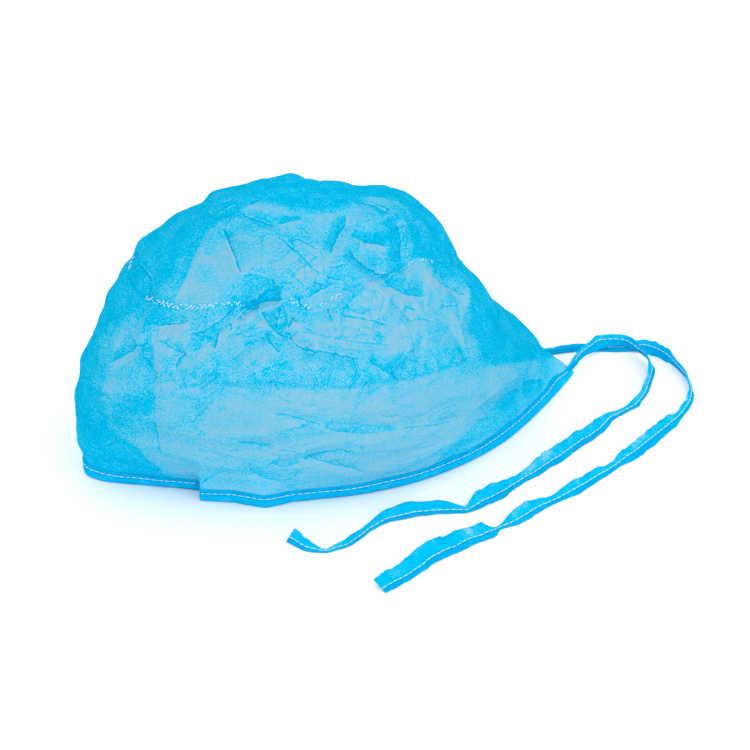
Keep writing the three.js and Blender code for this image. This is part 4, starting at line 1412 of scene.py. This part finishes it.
def cloth_shell(name, outer, depth):
    """A closed cloth wall: a fine outer skin, a coarser inner one and the edges between them."""
    inner = outer.coarser(INNER_STEP, depth)
    first_inner = len(outer.vertices())
    sets = outer.faces(0) + inner.faces(first_inner, inside_out=True)
    edges = [edge_faces(outer, inner, 0, INNER_STEP, first_inner, False)]
    if outer.top is None:
        edges.append(edge_faces(outer, inner, len(outer.points) - 1, INNER_STEP, first_inner, True))
    vertices = np.vstack([outer.vertices(), inner.vertices()])
    faces = [face for group, _ in sets for face in group.tolist()]
    places = [place.reshape(-1, 2) for _, place in sets]
    for group in edges:
        faces += group.tolist()
        places.append(vertices[group][..., :2].reshape(-1, 2))
    marks = {mark: np.append(outer.mark_values(mark), inner.mark_values(mark)) for mark in outer.marks}
    piece = new_object(name, vertices, faces, np.vstack(places) * MM, marks)
    sharpen(piece.data, np.unique(np.concatenate(edges)))
    return piece


def cloth_object(name, angles, levels, settings, pole=False):
    """A ring of cloth between levels at each angle, closed at the top where it has a pole."""
    cloth = cap_cloth(settings)
    angle = np.broadcast_to(angles, levels.shape)
    points, *colouring = cloth.fold(angle, levels)
    closed = np.concatenate([levels, levels[:, :1]], axis=1)
    turn = np.broadcast_to(np.radians(np.append(angles, angles[0] + 360)), closed.shape)
    top = None
    if pole:
        top = cloth.points(np.zeros(1), np.full(1, float(TOP_LEVEL)))[0]
        radius = (TOP_LEVEL - closed) * LEVEL_HEIGHT
        uv = np.stack([radius * np.cos(turn), radius * np.sin(turn)], -1)
    else:
        uv = np.stack([turn * GIRTH_RADIUS, closed * LEVEL_HEIGHT], -1)
    outer = Skin(points, uv, cloth_marks(angle, levels, *colouring), top)
    piece = cloth_shell(name, outer, settings.thickness / MM)
    piece.data.materials.append(shared_material("cap_cloth", lambda: cloth_material(settings)))
    return piece


class SURGICALCAP_OT_side_panel(bpy.types.Operator):
    """Adds the crumpled wall from the binding up to the crown seam."""

    bl_idname = "surgical_cap.side_panel"
    bl_label = "Side panel"

    def execute(self, context):
        settings = context.scene.surgical_cap
        angles = rim_turn(CLOTH_COLUMNS)
        inside_binding = PANEL_FOOT_SHARE * settings.binding.height / MM
        low = level_at_height(angles, panel_edge_height(np.mod(angles, 360), inside_binding))
        share = np.linspace(0, 1, PANEL_ROWS)[:, None]
        levels = low + (seam_level(angles) - low) * share
        piece = cloth_object("side_panel_cloth", angles, levels, settings.cloth)
        seat(piece, "cloth", "side_panel")
        return {"FINISHED"}


class SURGICALCAP_OT_crown(bpy.types.Operator):
    """Adds the crumpled top, gathered into the crown seam."""

    bl_idname = "surgical_cap.crown"
    bl_label = "Crown"

    def execute(self, context):
        settings = context.scene.surgical_cap
        angles = rim_turn(CLOTH_COLUMNS)
        share = np.linspace(0, 1, CROWN_ROWS + 1)[:-1, None]
        low = seam_level(angles)
        levels = low + (TOP_LEVEL - low) * share
        piece = cloth_object("crown_cloth", angles, levels, settings.cloth, pole=True)
        seat(piece, "cloth", "crown")
        return {"FINISHED"}


# The binding's folded section, round from the outer top edge: how far out from the cloth, how high,
# and how many layers lie there, from none to the most
BINDING_SECTION = (
    (0.25, 1.00, 0.70), (0.62, 0.97, 0.72), (0.72, 0.86, 0.74), (0.70, 0.75, 0.80),
    (0.42, 0.69, 0.95), (0.66, 0.62, 0.95), (0.84, 0.55, 0.55), (0.95, 0.42, 0.46),
    (0.95, 0.22, 0.44), (0.70, 0.08, 0.50), (0.10, 0.00, 0.60), (-0.70, 0.00, 0.60),
    (-1.25, 0.08, 0.50), (-1.45, 0.25, 0.44), (-1.40, 0.55, 0.50), (-1.05, 0.68, 0.95),
    (-1.30, 0.78, 0.78), (-1.20, 0.96, 0.72), (-0.60, 1.00, 0.70),
)
BINDING_STEPS = 640
BINDING_STITCH_SHARE = 0.69
BINDING_THREAD_OUT = 0.55
BINDING_THREAD_IN = -1.18
BINDING_TAPER_RUN = 18
BINDING_END_HEIGHT = 0.58
BINDING_END_THICKNESS = 0.55
BINDING_BARE_STEPS = 12
PANEL_FOOT_SHARE = 0.55

# The binding's uneven height: waves by their height, their count round the rim and their start, and a dip
# by its depth, its angle and its spread. Its ripples are given by their height and their turn at each step.
BINDING_WAVES = ((0.30, 11, 0), (0.25, 23, 40))
BINDING_DIP = (1.3, 204, 13)
BINDING_RIPPLES = ((0.12, 2.1), (0.10, 0.83))


def strip_object(name, points, layers, settings, inside_out=False):
    """A closed strip from rings of points along it, with the layers of cloth at each point."""
    rings, count = points.shape[:2]
    faces, corner_rows, corner_columns = grid_faces(rings, count, True)
    closed = np.concatenate([points, points[:, :1]], axis=1)
    uv = np.stack([running_lengths(closed), running_lengths(closed.transpose(1, 0, 2)).T], -1)
    places = uv[corner_rows, corner_columns]
    ends = np.stack([np.arange(count)[::-1], (rings - 1) * count + np.arange(count)])
    if inside_out:
        faces, places, ends = faces[:, ::-1], places[:, ::-1], ends[:, ::-1]
    uvs = np.vstack([places.reshape(-1, 2), np.zeros((ends.size, 2))]) * MM
    piece = new_object(name, points.reshape(-1, 3), faces.tolist() + ends.tolist(), uvs, {"layers": layers})
    piece.data.materials.append(shared_material("cap_strip", lambda: strip_material(settings)))
    return piece


def binding_lines(settings):
    """For each step of the binding: its foot, the ways out and up the wall, its height and thickness."""
    cloth = cap_cloth(settings.cloth)
    angles = np.linspace(FAR_END, NEAR_END, BINDING_STEPS)
    height = settings.binding.height / MM
    foot = cloth.points(angles, np.zeros_like(angles))
    head = cloth.points(angles, level_at_height(angles, height))
    along = np.gradient(foot, axis=0)
    out = unit(np.stack([along[:, 1], -along[:, 0], np.zeros(len(along))], -1))
    up = (head - foot) / head[:, 2:]
    run = running_lengths(foot[:, None])[:, 0]
    full = ramp(np.minimum(run, run[-1] - run), 0, BINDING_TAPER_RUN)
    dip, dip_angle, dip_spread = BINDING_DIP
    tall = height - dip * bell(angles - dip_angle, dip_spread)
    for wave, count, start in BINDING_WAVES:
        tall = tall + wave * np.sin(np.radians(angles * count + start))
    tall = tall * (BINDING_END_HEIGHT + (1 - BINDING_END_HEIGHT) * full)
    return foot, out, up, tall, BINDING_END_THICKNESS + (1 - BINDING_END_THICKNESS) * full


class SURGICALCAP_OT_binding(bpy.types.Operator):
    """Adds the folded band round the rim, open at the back."""

    bl_idname = "surgical_cap.binding"
    bl_label = "Binding"

    def execute(self, context):
        settings = context.scene.surgical_cap
        foot, out, up, tall, thick = binding_lines(settings)
        outward, upward, layers = np.array(BINDING_SECTION).T[:, :, None]
        steps = np.arange(len(foot))
        ripple = sum(size * np.sin(steps * turn) for size, turn in BINDING_RIPPLES)
        sideways = outward * thick + ripple * np.sin(np.pi * upward)
        points = foot + sideways[..., None] * out + (upward * tall)[..., None] * up
        layers = np.broadcast_to(layers, sideways.shape).T
        piece = strip_object("binding_band", points.transpose(1, 0, 2), layers, settings, inside_out=True)
        seat(piece, "binding", "binding")
        return {"FINISHED"}


# The tie's folded section: across its width and through its thickness, both as shares of a half
TIE_SECTION = (
    (-1.00, 0.10), (-0.92, 0.70), (-0.70, 0.90), (-0.50, 0.90), (-0.38, 0.75), (-0.26, 0.75),
    (-0.14, 0.90), (0.00, 0.95), (0.14, 0.95), (0.28, 0.90), (0.45, 0.90), (0.70, 0.85),
    (0.92, 0.70), (1.00, 0.00), (0.92, -0.75), (0.40, -1.00), (0.10, -0.95), (-0.14, -0.90),
    (-0.38, -0.75), (-0.55, -0.95), (-0.92, -0.75),
)
TIE_STEP = 0.8
TIE_SMOOTH = 0.25
TIE_KNOT_STEPS = 4000
TIE_FREE_RUN = (4, 20)
TABLE_GAP = 0.03

# In what a tie is uneven: the spacing of its turns in millimetres, and their height in degrees of roll,
# in shares of the half width or, for its frill, in millimetres
TIE_UNEVEN = {
    "roll": ((9, 8), (4, 5)),
    "edge": ((8, 0.14), (3, 0.10)),
    "stitch": ((6, 0.05),),
    "frill": ((5, 0.40),),
    "single": ((12, 1.0), (5, 0.3)),
}

# Layers of cloth across a tie, from none to 1: the open half, what the folded half and the sewn line add,
# and what is missing where a single layer stands open
OPEN_LAYERS = 0.46
FOLDED_LAYERS = 0.30
SEWN_LAYERS = 0.40
SINGLE_LAYERS = 0.28
SINGLE_RANGE = (0.55, 0.95)

# How much thinner a tie is along its stitches, over which share of its half width, and how far out and
# how high above the table the thread lies
STITCH_DIP = 0.6
STITCH_DIP_SHARE = 0.16
THREAD_OUT = 0.1
THREAD_GAP = 0.2


class TieStrip:
    """One tie: its centre line, its ways across and out, its edges and its stitch line's place."""

    def __init__(self, settings, end_angle, inward, rows, seed):
        random = np.random.default_rng(seed)
        line = self.even_line(np.vstack([self.sleeve(settings, end_angle, inward), np.array(rows, float)]))
        free = ramp(self.run, *TIE_FREE_RUN)
        roll = np.radians(line[:, 3] + free * self.ragged(random, "roll"))
        flat = unit(np.gradient(line[:, :2], axis=0))
        side = np.stack([flat[:, 1], -flat[:, 0], np.zeros(len(flat))], -1)
        up = np.array([0.0, 0.0, 1.0])
        self.across = np.sin(roll)[:, None] * up - np.cos(roll)[:, None] * side
        self.out = np.cos(roll)[:, None] * up + np.sin(roll)[:, None] * side
        self.half_width = settings.tie.width / MM / 2 * line[:, 4]
        self.half_thick = settings.tie.thickness / MM / 2
        self.edges = [1 + free * self.ragged(random, "edge") for _ in range(2)]
        wide = self.half_width * np.maximum(*self.edges)
        rest = wide * np.abs(np.sin(roll)) + self.half_thick * np.abs(np.cos(roll))
        lift = np.maximum(0, line[:, 2] - TIE_REST)
        self.centre = np.column_stack([line[:, :2], rest + lift])
        self.stitch = line[:, 5] + free * self.ragged(random, "stitch")
        self.frill = self.ragged(random, "frill")
        self.single = ramp(self.ragged(random, "single"), *SINGLE_RANGE)

    def sleeve(self, settings, end_angle, inward):
        """The first two places, inside the binding's end."""
        cloth = cap_cloth(settings.cloth)
        middle = settings.binding.height / MM / 2
        angles = np.array([end_angle + inward * SLEEVE_ANGLE, end_angle], float)
        places = cloth.points(angles, level_at_height(angles, middle))
        return np.column_stack([places[:, :2], [SLEEVE_PLACE, SLEEVE_PLACE]])

    def even_line(self, knots):
        """The tie's places at even steps, nearly straight from knot to knot."""
        knots = np.vstack([2 * knots[0] - knots[1], knots, 2 * knots[-1] - knots[-2]])
        share = np.linspace(0, len(knots) - 3, TIE_KNOT_STEPS)
        k = np.clip(np.floor(share).astype(int), 0, len(knots) - 4)
        t = (share - k)[:, None]
        bent = catmull(knots[k], knots[k + 1], knots[k + 2], knots[k + 3], t)
        straight = knots[k + 1] * (1 - t) + knots[k + 2] * t
        fine = straight + TIE_SMOOTH * (bent - straight)
        run = np.append(0, np.cumsum(np.linalg.norm(np.diff(fine[:, :2], axis=0), axis=1)))
        self.run = np.linspace(0, run[-1], int(run[-1] / TIE_STEP))
        return np.stack([np.interp(self.run, run, column) for column in fine.T], -1)

    def ragged(self, random, kind):
        """An uneven line with sharp turns along the tie."""
        line = np.zeros_like(self.run)
        for spacing, height in TIE_UNEVEN[kind]:
            knots = np.arange(0, self.run[-1] + 2 * spacing, spacing)
            places = knots + random.uniform(-0.3, 0.3, len(knots)) * spacing
            line = line + np.interp(self.run, places, height * random.uniform(-1, 1, len(knots)))
        return line

    def surface(self, share, through):
        """Points at a share of the half width, this far out from the strip's middle."""
        share = np.broadcast_to(share, self.run.shape)
        sideways = share * self.half_width * np.where(share < 0, *self.edges)
        bow = self.frill * np.clip(share, 0, 1) ** 2
        points = self.centre + sideways[:, None] * self.across + (through + bow)[:, None] * self.out
        points[:, 2] = np.maximum(points[:, 2], TABLE_GAP)
        return points

    def layers(self, share):
        """How many layers of cloth lie at a share of the half width."""
        above = share - self.stitch
        folded = OPEN_LAYERS + FOLDED_LAYERS * ramp(-above, 0.0, 0.12)
        sewn = SEWN_LAYERS * bell(above + 0.07, 0.09)
        return folded + sewn - SINGLE_LAYERS * self.single * ramp(above, 0.20, 0.70)


# Each tie's names, the binding's end it leaves and the way into it, its places, its seed, and the length
# without stitches at its start
TIES = (
    ("tie_near_strip", "tie_near", NEAR_END, -1, NEAR_TIE_ROWS, 5, 12),
    ("tie_far_strip", "tie_far", FAR_END, 1, FAR_TIE_ROWS, 8, 44),
)


class SURGICALCAP_OT_ties(bpy.types.Operator):
    """Adds the two folded strips, from the binding's ends to their free ends on the table."""

    bl_idname = "surgical_cap.ties"
    bl_label = "Ties"

    def execute(self, context):
        settings = context.scene.surgical_cap
        for name, node, end_angle, inward, rows, seed, _ in TIES:
            strip = TieStrip(settings, end_angle, inward, rows, seed)
            lines = []
            layers = []
            for share, through in TIE_SECTION:
                dip = 1 - STITCH_DIP * bell(share - strip.stitch, STITCH_DIP_SHARE)
                lines.append(strip.surface(share, through * dip * strip.half_thick))
                layers.append(strip.layers(share))
            piece = strip_object(name, np.stack(lines, 1), np.stack(layers, 1), settings)
            seat(piece, "ties", node)
        return {"FINISHED"}


def thread_inputs(tree, *names):
    """Gives a tree of geometry nodes its geometry, these sizes, a material and a result."""
    tree.interface.new_socket("Geometry", in_out="INPUT", socket_type="NodeSocketGeometry")
    for name in names:
        tree.interface.new_socket(name, in_out="INPUT", socket_type="NodeSocketFloat")
    tree.interface.new_socket("Material", in_out="INPUT", socket_type="NodeSocketMaterial")
    tree.interface.new_socket("Geometry", in_out="OUTPUT", socket_type="NodeSocketGeometry")
    return tree.nodes.new("NodeGroupInput"), tree.nodes.new("NodeGroupOutput")


def uneven(tree, low, high, seed):
    """A random value for each point, between two limits."""
    node = tree.nodes.new("FunctionNodeRandomValue")
    node.data_type = "FLOAT"
    sockets = {socket.name: socket for socket in node.inputs if socket.enabled}
    for name, value in (("Min", low), ("Max", high), ("Seed", seed)):
        sockets[name].default_value = value
    return next(socket for socket in node.outputs if socket.enabled)


def stitch_tree(name):
    """Geometry nodes: one small spindle of thread at every pitch along each line."""
    tree = bpy.data.node_groups.new(name, "GeometryNodeTree")
    entry, leave = thread_inputs(tree, "Pitch", "Length", "Thread", "Kept")
    given = entry.outputs
    curve = add_node(tree, "GeometryNodeMeshToCurve", {"Mesh": given["Geometry"]}).outputs[0]
    steps = {"Curve": curve, "Length": given["Pitch"]}
    points = add_node(tree, "GeometryNodeResampleCurve", steps, mode="LENGTH")
    ball = add_node(tree, "GeometryNodeMeshIcoSphere", {"Subdivisions": 2, "Radius": 0.5})
    length = product(tree, given["Length"], uneven(tree, low=0.80, high=1.06, seed=3))
    sizes = {"X": length, "Y": given["Thread"], "Z": given["Thread"]}
    shape = add_node(tree, "ShaderNodeCombineXYZ", sizes)
    tangent = add_node(tree, "GeometryNodeInputTangent").outputs[0]
    turn = add_node(tree, "FunctionNodeAlignRotationToVector", {"Vector": tangent}, axis="X")
    drawn = uneven(tree, low=0.0, high=1.0, seed=5)
    spindles = {
        "Points": points.outputs[0],
        "Selection": math_node(tree, "LESS_THAN", drawn, given["Kept"]),
        "Instance": ball.outputs[0],
        "Rotation": turn.outputs[0],
        "Scale": shape.outputs[0],
    }
    sewn = add_node(tree, "GeometryNodeInstanceOnPoints", spindles).outputs[0]
    sewn = add_node(tree, "GeometryNodeRealizeInstances", {0: sewn}).outputs[0]
    sewn = add_node(tree, "GeometryNodeSetShadeSmooth", {0: sewn}).outputs[0]
    thread = {"Geometry": sewn, "Material": given["Material"]}
    plug(tree, add_node(tree, "GeometryNodeSetMaterial", thread).outputs[0], leave.inputs[0])
    return tree


# Where the seam's overlock shows, from one angle to another, how far out it lies in millimetres, and its
# thread in metres
OVERLOCK_RUNS = ((45, 61), (92, 111), (127, 166), (193, 232), (250, 269), (299, 316))
OVERLOCK_OUT = 0.25
OVERLOCK_THREAD = {"Pitch": 0.0009, "Length": 0.0012, "Thread": 0.00024, "Kept": 0.5}


def overlock_lines(settings):
    """The zigzag of the overlock on the stretches where it shows, just outside the seam."""
    cloth = cap_cloth(settings.cloth)
    half = settings.stitch.overlock_rise / MM / LEVEL_HEIGHT
    lines = []
    for first, last in OVERLOCK_RUNS:
        angles = np.arange(first, last, math.degrees(settings.stitch.overlock_pitch / MM / GIRTH_RADIUS))
        levels = seam_level(angles) + half * (-1) ** np.arange(len(angles))
        points = cloth.points(angles, levels)
        lines.append(points + OVERLOCK_OUT * cloth.push(points))
    return lines


def sew(name, lines, tree, slot, values):
    """Runs a stitch tree along lines of millimetre points and keeps the result as a plain mesh."""
    vertices = np.vstack(lines)
    edges = []
    start = 0
    for line in lines:
        edges += [(start + k, start + k + 1) for k in range(len(line) - 1)]
        start += len(line)
    mesh = bpy.data.meshes.new(name)
    mesh.from_pydata((vertices * MM).tolist(), edges, [])
    piece = bpy.data.objects.new(name, mesh)
    bpy.context.scene.collection.objects.link(piece)
    thread = piece.modifiers.new("stitches", "NODES")
    thread.node_group = tree
    for item in tree.interface.items_tree:
        if item.in_out == "INPUT" and item.name in values:
            thread[item.identifier] = values[item.name]
    bake_modifiers(piece)
    if not piece.data.polygons:
        raise RuntimeError(f"{name}: no stitches were made")
    seat(piece, slot)
    return piece


class SURGICALCAP_OT_stitches(bpy.types.Operator):
    """Adds the white thread: running stitches of the binding and the ties, and the seam's overlock."""

    bl_idname = "surgical_cap.stitches"
    bl_label = "Stitches"

    def execute(self, context):
        settings = context.scene.surgical_cap
        stitch = settings.stitch
        thread = shared_material("cap_thread", thread_material)
        tree = stitch_tree("running_stitch")
        values = {
            "Pitch": stitch.pitch, "Length": stitch.length, "Thread": stitch.thread, "Kept": 1.0,
            "Material": thread,
        }
        foot, out, up, tall, thick = binding_lines(settings)
        rise = (BINDING_STITCH_SHARE * tall)[:, None] * up
        sewn = slice(BINDING_BARE_STEPS, -BINDING_BARE_STEPS)
        sides = []
        for away in (BINDING_THREAD_OUT, BINDING_THREAD_IN):
            line = foot + (away * thick)[:, None] * out + rise
            sides.append(line[sewn])
        sew("binding_stitches", sides, tree, "binding", values)
        for _, node, end_angle, inward, rows, seed, bare in TIES:
            strip = TieStrip(settings, end_angle, inward, rows, seed)
            sewn = slice(int(bare / TIE_STEP), -2)
            sides = []
            for sign in (1, -1):
                away = sign * np.full(len(strip.run), (1 - STITCH_DIP) * strip.half_thick + THREAD_OUT)
                line = strip.surface(strip.stitch, away)
                line[:, 2] = np.maximum(line[:, 2], THREAD_GAP)
                sides.append(line[sewn])
            sew(node + "_stitches", sides, tree, "ties", values)
        sew("seam_overlock", overlock_lines(settings), tree, "cloth", values | OVERLOCK_THREAD)
        return {"FINISHED"}


class SURGICALCAP_OT_stage(bpy.types.Operator):
    """Adds the pale table, the soft light and the camera."""

    bl_idname = "surgical_cap.stage"
    bl_label = "Stage"

    def execute(self, context):
        scene = context.scene
        settings = scene.surgical_cap.stage
        self.add_camera(scene, settings)
        self.add_floor(scene)
        self.add_light(scene, settings)
        scene.view_settings.view_transform = "Standard"
        return {"FINISHED"}

    def add_camera(self, scene, settings):
        """The camera at the photograph's angle."""
        level = math.cos(settings.elevation)
        back = Vector((
            math.sin(settings.azimuth) * level,
            -math.cos(settings.azimuth) * level,
            math.sin(settings.elevation),
        ))
        data = bpy.data.cameras.new("camera")
        data.lens = settings.lens
        data.sensor_width = SENSOR_WIDTH_MM
        data.clip_end = VIEW_END
        camera = bpy.data.objects.new("camera", data)
        camera.location = Vector(CAMERA_PIVOT) + settings.distance * back
        aim = Vector(CAMERA_AIM) - camera.location
        camera.rotation_euler = aim.to_track_quat("-Z", "Y").to_euler()
        scene.collection.objects.link(camera)
        scene.camera = camera

    def add_floor(self, scene):
        """A wide pale table top."""
        mesh = bpy.data.meshes.new("table_top")
        corners = [(x * TABLE_HALF, y * TABLE_HALF, 0) for x, y in ((-1, -1), (1, -1), (1, 1), (-1, 1))]
        mesh.from_pydata(corners, [], [(0, 1, 2, 3)])
        floor = bpy.data.objects.new("table_top", mesh)
        scene.collection.objects.link(floor)
        material, tree, surface = new_material("table_white")
        plug(tree, add_node(tree, "ShaderNodeBsdfDiffuse", {"Color": TABLE_WHITE}).outputs[0], surface)
        mesh.materials.append(material)

    def add_light(self, scene, settings):
        """An even white surround and two large soft lights."""
        world = scene.world or bpy.data.worlds.new("surround")
        scene.world = world
        world.use_nodes = True
        sky = world.node_tree.nodes["Background"]
        sky.inputs["Color"].default_value = (1.0, 1.0, 1.0, 1.0)
        sky.inputs["Strength"].default_value = settings.sky
        for name, power, place in (("key", settings.key, KEY_PLACE), ("fill", settings.fill, FILL_PLACE)):
            data = bpy.data.lights.new(name, "AREA")
            data.energy = power
            data.size = LIGHT_SIZE
            light = bpy.data.objects.new(name, data)
            light.location = place
            light.rotation_euler = (-light.location).to_track_quat("-Z", "Y").to_euler()
            scene.collection.objects.link(light)


class SURGICALCAP_PT_sidebar(bpy.types.Panel):
    """Lists the pieces of the cap in the sidebar."""

    bl_idname = "SURGICALCAP_PT_sidebar"
    bl_label = "Surgical Cap"
    bl_space_type = "VIEW_3D"
    bl_region_type = "UI"
    bl_category = "Surgical Cap"

    def draw(self, context):
        settings = context.scene.surgical_cap
        for group in (settings.cloth, settings.binding, settings.tie, settings.stitch, settings.stage):
            box = self.layout.box()
            for name in group.bl_rna.properties.keys():
                if name not in ("rna_type", "name"):
                    box.prop(group, name)
        for operator in OPERATORS:
            self.layout.operator(operator.bl_idname)


OPERATORS = (
    SURGICALCAP_OT_stage,
    SURGICALCAP_OT_ties,
    SURGICALCAP_OT_side_panel,
    SURGICALCAP_OT_crown,
    SURGICALCAP_OT_binding,
    SURGICALCAP_OT_stitches,
)
CLASSES = (
    ClothSettings,
    BindingSettings,
    TieSettings,
    StitchSettings,
    StageSettings,
    SurgicalCapSettings,
    *OPERATORS,
    SURGICALCAP_PT_sidebar,
)


def register():
    """Makes the settings, the operators and the panel known."""
    for item in CLASSES:
        bpy.utils.register_class(item)
    bpy.types.Scene.surgical_cap = PointerProperty(type=SurgicalCapSettings)


def unregister():
    """Takes them away again."""
    del bpy.types.Scene.surgical_cap
    for item in reversed(CLASSES):
        bpy.utils.unregister_class(item)


def main():
    """Builds the cap."""
    register()
    for operator in OPERATORS:
        group, name = operator.bl_idname.split(".")
        getattr(getattr(bpy.ops, group), name)()


if __name__ == "__main__":
    main()
